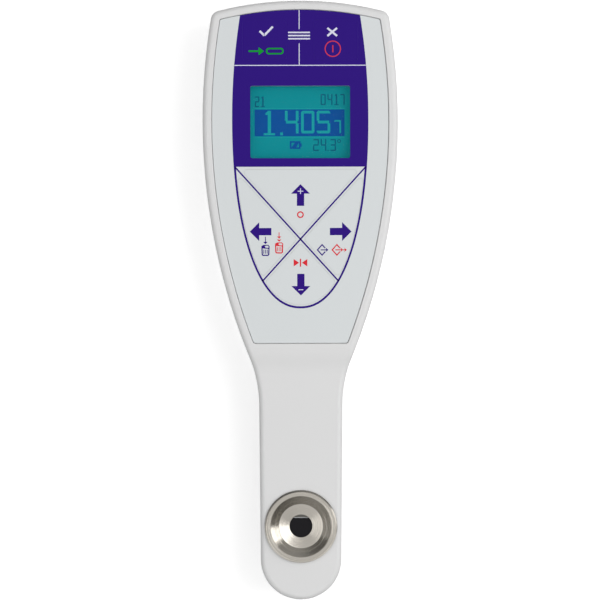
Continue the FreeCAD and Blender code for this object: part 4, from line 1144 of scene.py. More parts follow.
@dataclass(frozen=True)
class FieldPrint:
    """The coloured field, the oval and the lines on the face, with sizes in millimetres.

    Attributes:
        sheet: lays the prints on the film.
        layout: the shared places.
        top_half: half the field's width at its upper end.
        side_steps: how many steps each side of the field has.
        top_steps: how many steps its upper end has.
        window_cover: how far the field reaches over the window's edge.
        gap_cover: how far a print reaches into the gap round a key.
        oval_steps: how many steps a quarter of the oval has.
        oval_line: the width of the oval's line.
        cross_line: the width of the crossing lines.
        cross_start: how far the crossing lines reach into the field.
        cross_end: how far they reach into the oval's line.
        fine_line: the width of the fine lines.
        fine_half: half the length of the fine line across.
        fine_y: its lower edge.
        upright_x: the middle of the two upright fine lines.
        upright_high: the lower and upper end of the upper one.
        upright_low: the upper end of the lower one, which starts on the line across.
    """

    sheet: Sheet
    layout: Layout
    top_half: float = 21.13
    side_steps: int = 24
    top_steps: int = 10
    window_cover: float = 0.14
    gap_cover: float = 0.02
    oval_steps: int = 40
    oval_line: float = 0.74
    cross_line: float = 0.54
    cross_start: float = 0.1
    cross_end: float = 0.2
    fine_line: float = 0.3
    fine_half: float = 23.1
    fine_y: float = 82.45
    upright_x: float = -0.32
    upright_high: Pair = (95.3, 102.05)
    upright_low: float = 90.3

    def build(self) -> None:
        """Prints the field and its lines."""
        self.print_field()
        self.print_oval()
        self.print_crossing()
        self.print_fine_lines()

    def outline(self) -> Outline:
        """The coloured field's outline.

        Returns:
            The closed outline, counter-clockwise from its lower right corner.
        """
        place = self.layout
        radius = place.film_end_radius
        centre_y = place.film_top_y - radius
        top_y = centre_y + math.sqrt(radius**2 - self.top_half**2)
        side = []
        for k in range(self.side_steps + 1):
            y = place.field_low_y + (top_y - place.field_low_y) * k / self.side_steps
            side.append((place.field_half(y), y))
        lean = math.degrees(math.asin(self.top_half / radius))
        over = arc_points((0.0, centre_y), radius, 90 - lean, 90 + lean, self.top_steps)[1:-1]
        return side + over + [(-x, y) for x, y in reversed(side)]

    def pad(self, side: int, grow: float) -> Outline:
        """The outline of one of the two keys in the field.

        Args:
            side: 1 for the right key and -1 for the left one.
            grow: how far outside the key's edge the outline runs.

        Returns:
            The closed outline.
        """
        place = self.layout
        centre = (side * place.command_x, place.command_y)
        width, height = place.command_width + 2 * grow, place.command_height + 2 * grow
        return rounded(centre, width, height, place.key_corner + grow)

    def print_field(self) -> None:
        """Prints the coloured field on the film and on the two keys in it."""
        place, cover = self.layout, self.window_cover
        window = rounded(
            (0.0, place.window_y),
            place.window_width - 2 * cover,
            place.window_height - 2 * cover,
            place.window_corner - cover,
        )
        gaps = [self.pad(side, place.key_gap - self.gap_cover) for side in (-1, 1)]
        self.sheet.lay("blue_field", [[self.outline(), window, *gaps]], "blue_ink")
        for side, body in ((-1, "key_ok"), (1, "key_esc")):
            self.sheet.lay(f"{body}_field", [[self.pad(side, self.gap_cover)]], "blue_ink", body)

    def oval_side(self, inset: float) -> Outline:
        """The right half of the oval below the field.

        Args:
            inset: how far the oval is drawn in.

        Returns:
            Its points, from the field down to the lowest one.
        """
        place = self.layout
        half, depth = place.oval_half_width - inset, place.oval_depth - inset
        points = [(place.oval_half(place.field_low_y, inset), place.field_low_y)]
        for k in range(self.oval_steps):
            turn = math.pi / 2 * k / self.oval_steps
            x = half * math.cos(turn) ** (2 / place.oval_power)
            y = place.oval_y - depth * math.sin(turn) ** (2 / place.oval_power)
            if y < place.field_low_y:
                points.append((x, y))
        return points + [(0.0, place.oval_y - depth)]

    def print_oval(self) -> None:
        """Prints the oval's line in two halves."""
        right = self.oval_side(0.0) + list(reversed(self.oval_side(self.oval_line)))
        left = [(-x, y) for x, y in right]
        self.sheet.lay("oval_line", [[right], [left]], "blue_ink")

    def print_crossing(self) -> None:
        """Prints the four arms of the crossing lines."""
        place = self.layout
        ends = (self.crossing_low_y(), place.field_low_y - self.cross_start)
        arms = [(side, y) for side in (-1, 1) for y in ends]
        for k, (side, y) in enumerate(arms):
            x = side * abs(y - place.cross_y) / place.cross_slope
            arm = bar((0.0, place.cross_y), (x, y), self.cross_line)
            self.sheet.lay(f"cross_line_{k + 1}", [[arm]], "blue_ink")

    def crossing_low_y(self) -> float:
        """Where the crossing lines end on the oval, low on the face.

        Returns:
            The height on the face.
        """
        place, halvings = self.layout, 30
        low, high = place.oval_y - place.oval_depth, place.cross_y
        for _ in range(halvings):
            y = (low + high) / 2
            reach = (place.cross_y - y) / place.cross_slope
            if reach > place.oval_half(y, self.cross_end):
                low = y
            else:
                high = y
        return (low + high) / 2

    def print_fine_lines(self) -> None:
        """Prints the fine line across the field and the two upright ones."""
        top_y = self.fine_y + self.fine_line
        half = self.fine_line / 2
        lines = [[rectangle((-self.fine_half, self.fine_y), (self.fine_half, top_y))]]
        for low, high in (self.upright_high, (top_y, self.upright_low)):
            lines.append([rectangle((self.upright_x - half, low), (self.upright_x + half, high))])
        self.sheet.lay("field_lines", lines, "white_ink", under=1)


@dataclass(frozen=True)
class ArrowSigns:
    """The arrows on the four arrow keys, a plus on one and a minus on another.

    Attributes:
        sheet: lays the prints on the film.
        head: the length of an arrow's head, and half its width.
        half_stem: half the width of its stem.
        length: its whole length.
        arrows: for each key where its arrow's tip is and which way it points.
        half_line: half the width of the plus's and the minus's lines.
        plus: the middle of the plus.
        plus_reach: how far its lines reach.
        minus: the middle of the minus.
        minus_reach: how far its line reaches.
    """

    sheet: Sheet
    head: float = 3.3
    half_stem: float = 1.28
    length: float = 7.6
    arrows: tuple[tuple[str, Point, Point], ...] = (
        ("key_up", (0.05, 40.8), (0.0, 1.0)),
        ("key_left", (-17.8, 24.15), (-1.0, 0.0)),
        ("key_right", (17.95, 24.15), (1.0, 0.0)),
        ("key_down", (0.12, 1.7), (0.0, -1.0)),
    )
    half_line: float = 0.14
    plus: Point = (0.05, 38.35)
    plus_reach: float = 1.0
    minus: Point = (0.1, 3.7)
    minus_reach: float = 0.85

    def build(self) -> None:
        """Prints the arrows and then the signs on them."""
        head, stem = self.head, self.half_stem
        right = [(stem, -self.length), (stem, -head), (head, -head)]
        arrow: Outline = [(0.0, 0.0), *((-x, y) for x, y in reversed(right)), *right]
        for body, tip, direction in self.arrows:
            self.sheet.lay(f"{body}_arrow", [[turned(arrow, direction, tip)]], "blue_ink", body)
        x, y = self.plus
        half, reach = self.half_line, self.plus_reach
        plus = [
            [block(self.plus, reach, half)],
            [rectangle((x - half, y + half), (x + half, y + reach))],
            [rectangle((x - half, y - reach), (x + half, y - half))],
        ]
        self.sheet.lay("key_up_plus", plus, "white_ink", "key_up", under=1)
        minus = [[block(self.minus, self.minus_reach, half)]]
        self.sheet.lay("key_down_minus", minus, "white_ink", "key_down", under=1)


@dataclass(frozen=True)
class CommandSigns:
    """The plain signs on and between the two keys in the coloured field, with sizes in millimetres.

    Attributes:
        sheet: lays the prints on the film.
        tick: the three ends of the tick's strokes.
        tick_line: their width.
        sample: the middle of the round bar that an arrow points at.
        sample_width: the bar's width.
        sample_height: its height.
        sample_corner: the radius of its corners outside.
        sample_room_corner: the radius of its corners inside.
        sample_line: the width of its line.
        arrow_x: where the arrow begins, where its head begins and where its tip is.
        arrow_half_head: half the width of its head.
        arrow_half_stem: half the width of its stem.
        list_x: the left and right end of the list's bars.
        list_y: the lower side of its lowest bar.
        list_step: from one bar to the next.
        list_line: the bars' width.
        list_bars: how many bars it has.
        cross: the lower left and upper right end of the cross.
        cross_line: the width of its strokes.
        switch: the middle of the on/off sign.
        switch_radii: the outer and inner radius of its ring.
        switch_sides: how many sides its ring has.
        switch_half_width: half the width of the stroke in it.
        switch_half_height: half that stroke's height.
    """

    sheet: Sheet
    tick: tuple[Point, ...] = ((-14.2, 94.7), (-12.6, 93.1), (-9.6, 96.2))
    tick_line: float = 0.75
    sample: Point = (-8.9, 87.6)
    sample_width: float = 6.2
    sample_height: float = 2.3
    sample_corner: float = 1.0
    sample_room_corner: float = 0.6
    sample_line: float = 0.5
    arrow_x: tuple[float, float, float] = (-18.1, -14.6, -12.7)
    arrow_half_head: float = 1.4
    arrow_half_stem: float = 0.3
    list_x: Pair = (-4.2, 3.5)
    list_y: float = 91.7
    list_step: float = 1.1
    list_line: float = 0.5
    list_bars: int = 3
    cross: tuple[Point, Point] = ((9.6, 92.9), (13.0, 95.7))
    cross_line: float = 0.7
    switch: Point = (11.5, 88.4)
    switch_radii: Pair = (2.9, 2.5)
    switch_sides: int = 45
    switch_half_width: float = 0.22
    switch_half_height: float = 1.25

    def build(self) -> None:
        """Prints all signs of the two keys."""
        for k, (first, last) in enumerate(zip(self.tick, self.tick[1:])):
            stroke = bar(first, last, self.tick_line)
            self.sheet.lay(f"key_ok_tick_{k + 1}", [[stroke]], "white_ink", "key_ok", under=1)
        self.print_sample()
        left, right = self.list_x
        heights = [self.list_y + k * self.list_step for k in range(self.list_bars)]
        bars = [[rectangle((left, y), (right, y + self.list_line))] for y in heights]
        self.sheet.lay("list_sign", bars, "white_ink", under=1)
        (left, low), (right, high) = self.cross
        for k, (first, last) in enumerate((((left, low), (right, high)), ((left, high), (right, low)))):
            stroke = bar(first, last, self.cross_line)
            self.sheet.lay(f"key_esc_cross_{k + 1}", [[stroke]], "white_ink", "key_esc", under=1 + k)
        circle = ring(self.switch, *self.switch_radii, self.switch_sides)
        self.sheet.lay("key_esc_switch_ring", [circle], "red_on_blue", "key_esc", under=1)
        stem = block(self.switch, self.switch_half_width, self.switch_half_height)
        self.sheet.lay("key_esc_switch_bar", [[stem]], "red_on_blue", "key_esc", under=1)

    def print_sample(self) -> None:
        """Prints the arrow at a round bar, which stands for a sample that is measured."""
        y = self.sample[1]
        start, neck, tip = self.arrow_x
        room = 2 * self.sample_line
        shapes = [
            [rectangle((start, y - self.arrow_half_stem), (neck, y + self.arrow_half_stem))],
            [[(neck, y - self.arrow_half_head), (tip, y), (neck, y + self.arrow_half_head)]],
            [
                rounded(self.sample, self.sample_width, self.sample_height, self.sample_corner),
                rounded(self.sample, self.sample_width - room, self.sample_height - room,
                        self.sample_room_corner),
            ],
        ]
        self.sheet.lay("key_ok_measure_sign", shapes, "green_ink", "key_ok", under=1)


@dataclass(frozen=True)
class SettingSigns:
    """The two small red signs over and under the crossing, with sizes in millimetres.

    Attributes:
        sheet: lays the prints on the film.
        circle: the middle of the small ring.
        circle_radii: its outer and inner radius.
        circle_sides: how many sides it has.
        mark: the middle of the line between two triangles.
        mark_half_width: half the line's width.
        mark_half_height: half its height.
        triangle_x: how far out a triangle's tip and its base are.
        triangle_half: half its height.
    """

    sheet: Sheet
    circle: Point = (0.0, 30.1)
    circle_radii: Pair = (1.2, 0.75)
    circle_sides: int = 24
    mark: Point = (0.0, 13.2)
    mark_half_width: float = 0.22
    mark_half_height: float = 1.4
    triangle_x: Pair = (0.5, 2.4)
    triangle_half: float = 1.3

    def build(self) -> None:
        """Prints the small ring and the two triangles at a line."""
        circle = ring(self.circle, *self.circle_radii, self.circle_sides)
        self.sheet.lay("key_up_ring", [circle], "red_ink", "key_up")
        y = self.mark[1]
        tip, base = self.triangle_x
        low, high = y - self.triangle_half, y + self.triangle_half
        shapes = [
            [[(-base, low), (-tip, y), (-base, high)]],
            [[(base, high), (tip, y), (base, low)]],
            [block(self.mark, self.mark_half_width, self.mark_half_height)],
        ]
        self.sheet.lay("key_down_marks", shapes, "red_ink", "key_down")


@dataclass(frozen=True)
class BinSign:
    """A small open bin with arrows down into it, with sizes in millimetres.

    Attributes:
        name: the print's name.
        finish: its ink.
        x: its middle.
        y: its lower side.
        arrows: how many arrows stand over it, one above the other.
        half: half its width.
        tall: its height.
        line: the width of its line.
        foot: how far in and up its lower corners are cut off.
        taper: how far its sides lean in.
        shoulder: how far down its upper corners are cut off.
        brim: how far in the left and the right one are cut off.
        room_foot: how far in and up the room inside is cut off at its lower corners.
        room_drop: how far the room stays under the upper side, on the left and on the right.
        mouth: its opening, from the middle of its upper side.
        rib_step: from one rib to the next.
        rib_half: half a rib's width.
        rib_ends: how far the ribs stay from its lower and upper side.
        arrow_gap: how far the lowest arrow's tip is over it.
        arrow_step: from one arrow to the next.
        arrow_head: half the width of an arrow's head, and its length.
        stem_half: half the width of its stem.
        stems: how far up the uppermost arrow reaches, and each other one.
        shorter: how much less far they reach for each arrow more than one.
    """

    name: str
    finish: str
    x: float
    y: float
    arrows: int
    half: float = 1.45
    tall: float = 3.9
    line: float = 0.42
    foot: Pair = (0.5, 0.4)
    taper: float = 0.1
    shoulder: float = 0.5
    brim: Pair = (0.75, 0.45)
    room_foot: Pair = (0.7, 0.55)
    room_drop: Pair = (1.25, 1.4)
    mouth: tuple[Point, ...] = (
        (-0.25, -0.62), (0.1, -0.98), (1.0, -1.05), (1.12, -0.6), (0.85, -0.3), (0.1, -0.3),
    )
    rib_step: float = 0.6
    rib_half: float = 0.12
    rib_ends: Pair = (0.8, 1.65)
    arrow_gap: float = 0.25
    arrow_step: float = 1.05
    arrow_head: Pair = (0.75, 0.8)
    stem_half: float = 0.14
    stems: Pair = (2.6, 1.0)
    shorter: float = 0.35

    def shapes(self) -> list[list[Outline]]:
        """Draws the bin, its ribs and its arrows.

        Returns:
            For each shape its outline and then its holes.
        """
        x, low, high = self.x, self.y, self.y + self.tall
        half, wall = self.half, self.half - self.line
        foot, rise = self.foot
        left_brim, right_brim = self.brim
        body = [
            (x - half + foot, low), (x + half - foot, low), (x + half - self.taper, low + rise),
            (x + half, high - self.shoulder), (x + half - right_brim, high), (x - half + left_brim, high),
            (x - half, high - self.shoulder), (x - half + self.taper, low + rise),
        ]
        foot, rise = self.room_foot
        left_drop, right_drop = self.room_drop
        room = [
            (x - half + foot, low + self.line), (x + half - foot, low + self.line),
            (x + wall - self.taper, low + rise), (x + wall, high - right_drop),
            (x - wall, high - left_drop), (x - wall + self.taper, low + rise),
        ]
        mouth = [(x + px, high + py) for px, py in self.mouth]
        found = [[body, room, mouth]]
        for k in (-1, 0, 1):
            middle = x + k * self.rib_step
            found.append([rectangle((middle - self.rib_half, low + self.rib_ends[0]),
                                    (middle + self.rib_half, high - self.rib_ends[1]))])
        return found + [[self.arrow(k)] for k in range(self.arrows)]

    def arrow(self, k: int) -> Outline:
        """Draws one arrow that points down.

        Args:
            k: its number, from the lowest one up.

        Returns:
            Its outline.
        """
        tip = self.y + self.tall + self.arrow_gap + k * self.arrow_step
        stem = self.stems[0] if k == self.arrows - 1 else self.stems[1]
        top = tip + stem - self.shorter * (self.arrows - 1)
        half, length = self.arrow_head
        right = [(half, tip + length), (self.stem_half, tip + length), (self.stem_half, top)]
        outline = [(0.0, tip), *right, *((-px, py) for px, py in reversed(right))]
        return [(self.x + px, py) for px, py in outline]


@dataclass(frozen=True)
class LozengeSign:
    """A small lozenge, open on its right, with an arrow out of it, with sizes in millimetres.

    Attributes:
        name: the print's name.
        finish: its ink.
        x: its middle.
        arrows: how many arrow heads the arrow has.
        y: its middle's height on the face.
        wide: half its width.
        tall: half its height.
        line: the width of its line.
        mouth: how much of its right corner is left out, as a share.
        start: where the arrow begins, left of the middle.
        reach: how far right of the middle its first tip is.
        step: from one tip to the next.
        barb: how far behind the tip an arrow head's corners are, and how far out.
        neck: how far behind the tip the stem ends.
        stem_half: half the stem's width.
    """

    name: str
    finish: str
    x: float
    arrows: int
    y: float = 17.7
    wide: float = 1.9
    tall: float = 2.15
    line: float = 0.55
    mouth: float = 0.34
    start: float = 0.5
    reach: float = 2.2
    step: float = 1.3
    barb: Pair = (0.95, 0.8)
    neck: float = 0.7
    stem_half: float = 0.17

    def shapes(self) -> list[list[Outline]]:
        """Draws the lozenge and its arrow.

        Returns:
            For each shape its outline.
        """
        x, y = self.x, self.y
        open_x, open_y = self.wide * (1 - self.mouth), self.tall * self.mouth
        upper = [(open_x, open_y), (0.0, self.tall)]
        corners = upper + [(-self.wide, 0.0)] + [(px, -py) for px, py in reversed(upper)]
        slim = 1 - self.line / self.wide
        inner = [(px * slim, py * slim) for px, py in reversed(corners)]
        found = [[[(x + px, y + py) for px, py in corners + inner]]]
        start = x - self.start
        back, out = self.barb
        for k in range(self.arrows):
            tip = x + self.reach + self.step * k
            neck = tip - self.neck
            found.append([rectangle((start, y - self.stem_half), (neck, y + self.stem_half))])
            found.append([[(tip, y), (tip - back, y + out), (neck, y + self.stem_half),
                           (neck, y - self.stem_half), (tip - back, y - out)]])
            start = tip
        return found


@dataclass(frozen=True)
class FacePrint:
    """Everything that is printed on the film.

    Attributes:
        sheet: lays the prints on the film.
        layout: the shared places.
        bins: the two bins on the left key.
        lozenges: the two lozenges on the right key.
    """

    sheet: Sheet
    layout: Layout
    bins: tuple[BinSign, ...] = (
        BinSign("key_left_bin_blue", "blue_ink", x=-12.3, y=15.6, arrows=1),
        BinSign("key_left_bin_red", "red_ink", x=-7.5, y=16.45, arrows=2),
    )
    lozenges: tuple[LozengeSign, ...] = (
        LozengeSign("key_right_lozenge_blue", "blue_ink", x=7.6, arrows=1),
        LozengeSign("key_right_lozenge_red", "red_ink", x=12.8, arrows=2),
    )

    def build(self) -> None:
        """Prints the whole face."""
        FieldPrint(self.sheet, self.layout).build()
        ArrowSigns(self.sheet).build()
        CommandSigns(self.sheet).build()
        SettingSigns(self.sheet).build()
        for body, signs in (("key_left", self.bins), ("key_right", self.lozenges)):
            for sign in signs:
                self.sheet.lay(sign.name, sign.shapes(), sign.finish, body)


@dataclass(frozen=True)
class Digit:
    """One digit of the display, drawn from straight bars with cut corners.

    Attributes:
        left: its left side in millimetres.
        right: its right side.
        low: its lower side.
        high: its upper side.
        stroke: the width of its bars. The sizes that follow are shares of it.
        cut: how far its corners are cut off.
        indent: how far the middle bar's ends stay inside.
        foot: how thick a one's foot is.
        stem: half the width of a one's stem.
        flag: how far out and down a one's flag reaches.
        flag_start: how far down its upper side starts.
    """

    left: float
    right: float
    low: float
    high: float
    stroke: float
    cut: float = 0.55
    indent: float = 0.4
    foot: float = 0.8
    stem: float = 0.6
    flag: float = 1.5
    flag_start: float = 0.2

    STROKES = {
        "0": (Stroke.TOP, Stroke.BOTTOM, Stroke.LEFT_HIGH, Stroke.LEFT_LOW, Stroke.RIGHT_HIGH,
              Stroke.RIGHT_LOW, Stroke.LEFT_MIDDLE, Stroke.RIGHT_MIDDLE),
        "2": (Stroke.TOP, Stroke.MIDDLE, Stroke.BOTTOM, Stroke.RIGHT_HIGH, Stroke.LEFT_LOW),
        "3": (Stroke.TOP, Stroke.MIDDLE, Stroke.BOTTOM, Stroke.RIGHT_HIGH, Stroke.RIGHT_LOW),
        "4": (Stroke.MIDDLE, Stroke.LEFT_HIGH, Stroke.RIGHT_HIGH, Stroke.RIGHT_LOW, Stroke.RIGHT_TOP,
              Stroke.LEFT_TOP, Stroke.RIGHT_BOTTOM),
        "5": (Stroke.TOP, Stroke.MIDDLE, Stroke.BOTTOM, Stroke.LEFT_HIGH, Stroke.RIGHT_LOW),
        "7": (Stroke.TOP, Stroke.RIGHT_HIGH, Stroke.RIGHT_MIDDLE, Stroke.RIGHT_LOW, Stroke.RIGHT_BOTTOM),
    }

    def shapes(self, sign: str) -> list[list[Outline]]:
        """Draws the digit.

        Args:
            sign: the digit, or a point.

        Returns:
            One shape for each bar.
        """
        if sign == ".":
            return [[rectangle((self.left, self.low), (self.right, self.low + self.right - self.left))]]
        if sign == "1":
            return self.one()
        return [[self.bar(stroke)] for stroke in self.STROKES[sign]]

    def one(self) -> list[list[Outline]]:
        """Draws a one with a foot and a flag.

        Returns:
            Its three shapes.
        """
        centre, high, line = (self.left + self.right) / 2, self.high, self.stroke
        foot, half, flag = self.low + line * self.foot, line * self.stem, line * self.flag
        return [
            [rectangle((self.left, self.low), (self.right, foot))],
            [rectangle((centre - half, foot), (centre + half, high))],
            [[(centre - flag, high - flag), (centre - half, high - flag),
              (centre - half, high - line * self.flag_start), (centre - flag, high - line)]],
        ]

    def bar(self, stroke: Stroke) -> Outline:
        """Draws one bar.

        Args:
            stroke: which bar.

        Returns:
            Its outline.
        """
        left, right, low, high, line = self.left, self.right, self.low, self.high, self.stroke
        cut, indent = line * self.cut, line * self.indent
        middle = (low + high) / 2
        if stroke is Stroke.TOP:
            return [(left, high - line), (right, high - line), (right, high - cut), (right - cut, high),
                    (left + cut, high), (left, high - cut)]
        if stroke is Stroke.BOTTOM:
            return [(left + cut, low), (right - cut, low), (right, low + cut), (right, low + line),
                    (left, low + line), (left, low + cut)]
        if stroke is Stroke.MIDDLE:
            return rectangle((left + indent, middle - line / 2), (right - indent, middle + line / 2))
        side, part = stroke.value.split()
        spans = {
            "top": (high - line, high),
            "high": (middle + line / 2, high - line),
            "middle": (middle - line / 2, middle + line / 2),
            "low": (low + line, middle - line / 2),
            "bottom": (low, low + line),
        }
        start = left if side == "left" else right - line
        return rectangle((start, spans[part][0]), (start + line, spans[part][1]))


@dataclass(frozen=True)
class NumberRow:
    """Digits of one height in the display.

    Attributes:
        low: their lower side in millimetres.
        high: their upper side.
        stroke: the width of their bars.
        bright: whether they are light on the dark band.
        digits: for each its piece's name, the sign, and its left and right side.
    """

    low: float
    high: float
    stroke: float
    bright: bool
    digits: tuple[tuple[str, str, float, float], ...]


@dataclass(frozen=True)
class DisplayContent:
    """What the display shows: plain numbers in a dark band and small ones round it.

    Attributes:
        sheet: lays the display's parts on its glass.
        band_x: the left and right side of the dark band in millimetres.
        band_y: its lower and upper side.
        line: the width of the light lines under and over it.
        line_gaps: how far from it the two lines start.
        rows: the numbers.
        cell: the small battery sign's lower left and upper right corner.
        cell_knob: the same of its knob.
        cell_holes: what is left light in it.
        degree: the middle of the degree sign.
        degree_radii: its outer and inner radius.
        degree_sides: how many sides it has.
    """

    sheet: Sheet
    band_x: Pair = (-16.1, 15.65)
    band_y: Pair = (57.9, 67.35)
    line: float = 0.22
    line_gaps: Pair = (0.45, 0.25)
    rows: tuple[NumberRow, ...] = (
        NumberRow(low=58.25, high=66.9, stroke=0.95, bright=True, digits=(
            ("display_number_large", "1", -12.9, -8.9),
            ("display_number_point", ".", -7.1, -6.1),
        )),
        NumberRow(low=58.9, high=66.9, stroke=0.95, bright=True, digits=(
            ("display_number_first", "4", -5.4, -0.6),
            ("display_number_second", "0", 0.3, 5.0),
            ("display_number_third", "5", 5.8, 10.6),
        )),
        NumberRow(low=59.0, high=63.6, stroke=0.55, bright=True, digits=(
            ("display_number_small", "7", 12.0, 14.4),
        )),
        NumberRow(low=68.2, high=72.0, stroke=0.42, bright=False, digits=(
            ("display_count_1", "2", -16.0, -14.4),
            ("display_count_2", "1", -13.9, -12.4),
        )),
        NumberRow(low=68.9, high=72.8, stroke=0.42, bright=False, digits=(
            ("display_memory_1", "0", 7.2, 9.0),
            ("display_memory_2", "4", 9.6, 11.4),
            ("display_memory_3", "1", 12.0, 13.6),
            ("display_memory_4", "7", 14.1, 15.7),
        )),
        NumberRow(low=52.7, high=56.9, stroke=0.45, bright=False, digits=(
            ("display_warmth_1", "2", 4.5, 6.6),
            ("display_warmth_2", "4", 7.2, 9.2),
            ("display_warmth_point", ".", 9.6, 10.0),
            ("display_warmth_3", "3", 10.6, 12.6),
        )),
    )
    cell: tuple[Point, Point] = ((-3.7, 53.4), (0.1, 56.2))
    cell_knob: tuple[Point, Point] = ((0.1, 54.2), (0.5, 55.4))
    cell_holes: tuple[tuple[Point, ...], ...] = (
        ((-3.1, 54.0), (-1.9, 55.6), (-3.1, 55.6)),
        ((-1.4, 54.0), (-0.5, 54.0), (-0.5, 55.6)),
    )
    degree: Point = (13.7, 56.2)
    degree_radii: Pair = (0.7, 0.4)
    degree_sides: int = 12

    def build(self) -> None:
        """Draws the band, its lines, the numbers and the small signs."""
        (left, right), (low, high) = self.band_x, self.band_y
        self.sheet.lay("display_band", [[rectangle((left, low), (right, high))]], "crystal_dark")
        heights = (low - self.line_gaps[0], high + self.line_gaps[1])
        lines = [[rectangle((left, y), (right, y + self.line))] for y in heights]
        self.sheet.lay("display_lines", lines, "crystal_light")
        for row in self.rows:
            finish = "crystal_light" if row.bright else "crystal_faint"
            for name, sign, left, right in row.digits:
                shapes = Digit(left, right, row.low, row.high, row.stroke).shapes(sign)
                self.sheet.lay(name, shapes, finish, under=int(row.bright))
        holes = [list(hole) for hole in self.cell_holes]
        battery = [[rectangle(*self.cell), *holes], [rectangle(*self.cell_knob)]]
        self.sheet.lay("display_sign", battery, "crystal_dark")
        degree = ring(self.degree, *self.degree_radii, self.degree_sides)
        self.sheet.lay("display_degree", [degree], "crystal_faint")


@dataclass(frozen=True)
class SampleCell:
    """A painted highlight in the sample well: a bright strip that stands for light caught along the prism's
    bevel edge, with sizes in millimetres.

    Attributes:
        sheet: lays pieces on the prism's face.
        layout: the shared places.
        reach: how far from the cell's middle the prism's bevel begins.
        radius: the radius of the prism's face.
        line: the width of the painted highlight.
    """

    sheet: Sheet
    layout: Layout
    reach: float = 2.95
    radius: float = 3.9
    line: float = 0.14

    def build(self) -> None:
        """Lays the painted highlight: a bright strip along the prism's bevel that stands for light caught on
        its edge.
        """
        half = math.sqrt(self.radius**2 - self.reach**2)
        y = self.layout.cell_y + self.reach
        self.sheet.lay("prism_painted_highlight", [[rectangle((-half, y - self.line), (half, y))]], "bevel_painted_highlight")


@dataclass(frozen=True)
class Lamp:
    """One soft light over the object.

    Attributes:
        name: the light's name.
        place: where it hangs, in metres.
        width: how wide it is, in metres.
        height: how tall it is, in metres.
        power: how strong it is, in watts.
    """

    name: str
    place: Place
    width: float
    height: float
    power: float

    def hang(self) -> None:
        """Hangs the light so that it faces the middle of the object."""
        light = bpy.data.lights.new(self.name, "AREA")
        light.shape = "RECTANGLE"
        light.size = self.width
        light.size_y = self.height
        light.energy = self.power
        holder = bpy.data.objects.new(self.name, light)
        holder.location = self.place
        holder.rotation_mode = "QUATERNION"
        holder.rotation_quaternion = (-Vector(self.place)).to_track_quat("-Z", "Y")
        bpy.context.scene.collection.objects.link(holder)
        LOG.info("%s hangs at %s", self.name, self.place)


@dataclass(frozen=True)
class Floor:
    """The plain pale floor that the object lies on. From underneath one sees through it.

    Attributes:
        half: half its width in metres.
        drop: how far it is below the object, in metres.
        colour: its screen colour.
        bounce_colour: the screen colour that it throws back on the object from afar.
        close: how near it throws back its own colour, in metres.
        glow: how much light it gives off by itself.
        roughness: how matt it is.
        shine: how strongly it mirrors its surroundings.
    """

    half: float = 20.0
    drop: float = 0.0002
    colour: Colour = (250, 250, 250)
    bounce_colour: Colour = (140, 140, 140)
    close: float = 0.012
    glow: float = 0.34
    roughness: float = 0.9
    shine: float = 0.1

    def lay(self) -> None:
        """Lays the floor."""
        mesh_form = bmesh.new()
        bmesh.ops.create_grid(mesh_form, x_segments=1, y_segments=1, size=self.half)
        bmesh.ops.translate(mesh_form, verts=list(mesh_form.verts), vec=(0.0, 0.0, -self.drop))
        mesh = bpy.data.meshes.new("floor")
        mesh_form.to_mesh(mesh)
        mesh_form.free()
        floor = bpy.data.objects.new("floor", mesh)
        bpy.context.scene.collection.objects.link(floor)
        floor.data.materials.append(self.material())
        LOG.info("floor lies %s m under the object", self.drop)

    def material(self) -> bpy.types.Material:
        """Makes a material that the camera, metal and glass see paler than the object does.

        Returns:
            The new material.
        """
        made = bpy.data.materials.new("floor")
        made.use_nodes = True
        graph = NodeGraph(made.node_tree)
        rays = graph.add("ShaderNodeLightPath").outputs
        direct = graph.maths("MAXIMUM", rays["Is Camera Ray"], rays["Is Glossy Ray"])
        close = graph.maths("LESS_THAN", rays["Ray Length"], self.close)
        through = graph.maths("MAXIMUM", rays["Is Transmission Ray"], close)
        seen = graph.maths("MAXIMUM", direct, through)
        shader = graph.add("ShaderNodeBsdfPrincipled")
        graph.feed(shader, {
            "Base Color": graph.mixed(seen, linear(self.bounce_colour), linear(self.colour)),
            "Roughness": self.roughness,
            "Specular IOR Level": self.shine,
            "Emission Color": WHITE,
            "Emission Strength": graph.maths("MULTIPLY", seen, self.glow),
        })
        chosen = graph.add("ShaderNodeMixShader")
        graph.join(graph.add("ShaderNodeNewGeometry").outputs["Backfacing"], chosen.inputs[0])
        graph.join(shader.outputs[0], chosen.inputs[1])
        graph.join(graph.add("ShaderNodeBsdfTransparent").outputs[0], chosen.inputs[2])
        graph.join(chosen.outputs[0], graph.add("ShaderNodeOutputMaterial").inputs["Surface"])
        return made


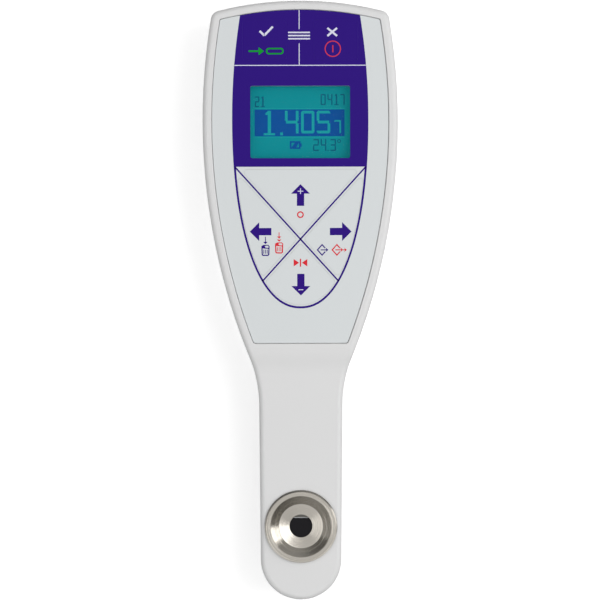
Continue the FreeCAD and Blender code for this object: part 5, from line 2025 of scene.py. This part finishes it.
@dataclass(frozen=True)
class Sky:
    """A sky that is bright overhead and darker low down.

    Attributes:
        low: its strength at the horizon.
        high: its strength overhead.
        least: the least strength that it has anywhere.
        haze: between which heights, as shares of the way up, it brightens.
        swing: how much its strength swings round the horizon.
        turn: how far the swing is turned, in degrees.
    """

    low: float = 0.09
    high: float = 0.8
    least: float = 0.06
    haze: Pair = (0.2, 0.85)
    swing: float = 0.2
    turn: float = 25.0

    def light(self) -> None:
        """Makes the sky the scene's world."""
        world = bpy.data.worlds.new("studio")
        bpy.context.scene.world = world
        world.use_nodes = True
        graph = NodeGraph(world.node_tree)
        rotated = graph.add("ShaderNodeVectorRotate", rotation_type="Z_AXIS")
        rotated.inputs["Angle"].default_value = math.radians(self.turn)
        graph.join(graph.add("ShaderNodeTexCoord").outputs["Generated"], rotated.inputs[0])
        x, y, z = graph.split(rotated.outputs[0])
        spread = graph.add("ShaderNodeMapRange")
        graph.feed(spread, {
            "Value": graph.maths("ABSOLUTE", z),
            "From Min": self.haze[0],
            "From Max": self.haze[1],
            "To Min": self.low,
            "To Max": self.high,
        })
        aside = graph.maths("SUBTRACT", graph.maths("POWER", y, 2.0), graph.maths("POWER", x, 2.0))
        swung = graph.maths("ADD", spread.outputs["Result"], graph.maths("MULTIPLY", aside, self.swing))
        sky = graph.add("ShaderNodeBackground")
        graph.feed(sky, {"Strength": graph.maths("MAXIMUM", swung, self.least), "Color": WHITE})
        output = graph.add("ShaderNodeOutputWorld")
        graph.join(sky.outputs[0], output.inputs["Surface"])
        LOG.info("sky is lit from %s to %s", self.low, self.high)


@dataclass(frozen=True)
class Camera:
    """The camera, straight over the face.

    Attributes:
        place: where it is, in metres.
        roll: how far it is turned about its own axis, in degrees.
        lens: its focal length in millimetres.
        sensor: its sensor's width in millimetres.
    """

    place: Place = (-0.0002, 0.0001, 0.929)
    roll: float = -0.11
    lens: float = 153.66
    sensor: float = 36.0

    def hang(self) -> None:
        """Hangs the camera and makes it the scene's own."""
        camera = bpy.data.cameras.new("camera")
        camera.lens = self.lens
        camera.sensor_width = self.sensor
        holder = bpy.data.objects.new("camera", camera)
        holder.location = self.place
        holder.rotation_euler = (0.0, 0.0, math.radians(self.roll))
        bpy.context.scene.collection.objects.link(holder)
        bpy.context.scene.camera = holder


@dataclass(frozen=True)
class Studio:
    """The pale surroundings, the lights and the camera.

    Attributes:
        floor: the floor under the object.
        sky: the light from all round.
        lamps: the soft lights.
        camera: the camera.
    """

    floor: Floor = Floor()
    sky: Sky = Sky()
    lamps: tuple[Lamp, ...] = (
        Lamp("main_softbox", place=(0.63, 0.08, 0.52), width=0.5, height=1.2, power=4.6),
        Lamp("side_softbox", place=(-0.6, -0.1, 0.6), width=0.7, height=0.7, power=1.3),
    )
    camera: Camera = Camera()

    def build(self) -> None:
        """Sets up everything round the object."""
        self.floor.lay()
        self.sky.light()
        for lamp in self.lamps:
            lamp.hang()
        self.camera.hang()
        bpy.context.scene.view_settings.view_transform = "Standard"


def main() -> None:
    """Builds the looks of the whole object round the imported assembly."""
    logging.basicConfig(level=logging.INFO)
    layout = Layout.measured(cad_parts)
    finishes = Finishes(layout)
    finishes.dress_nodes(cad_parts)
    FacePrint(Sheet(finishes, "film", layout.film_z), layout).build()
    DisplayContent(Sheet(finishes, "display_glass", layout.glass_z)).build()
    # The sample cell adds a painted highlight on the prism.
    SampleCell(Sheet(finishes, "prism_glass", layout.prism_z), layout).build()
    Studio().build()


if __name__ == "__main__":
    main()
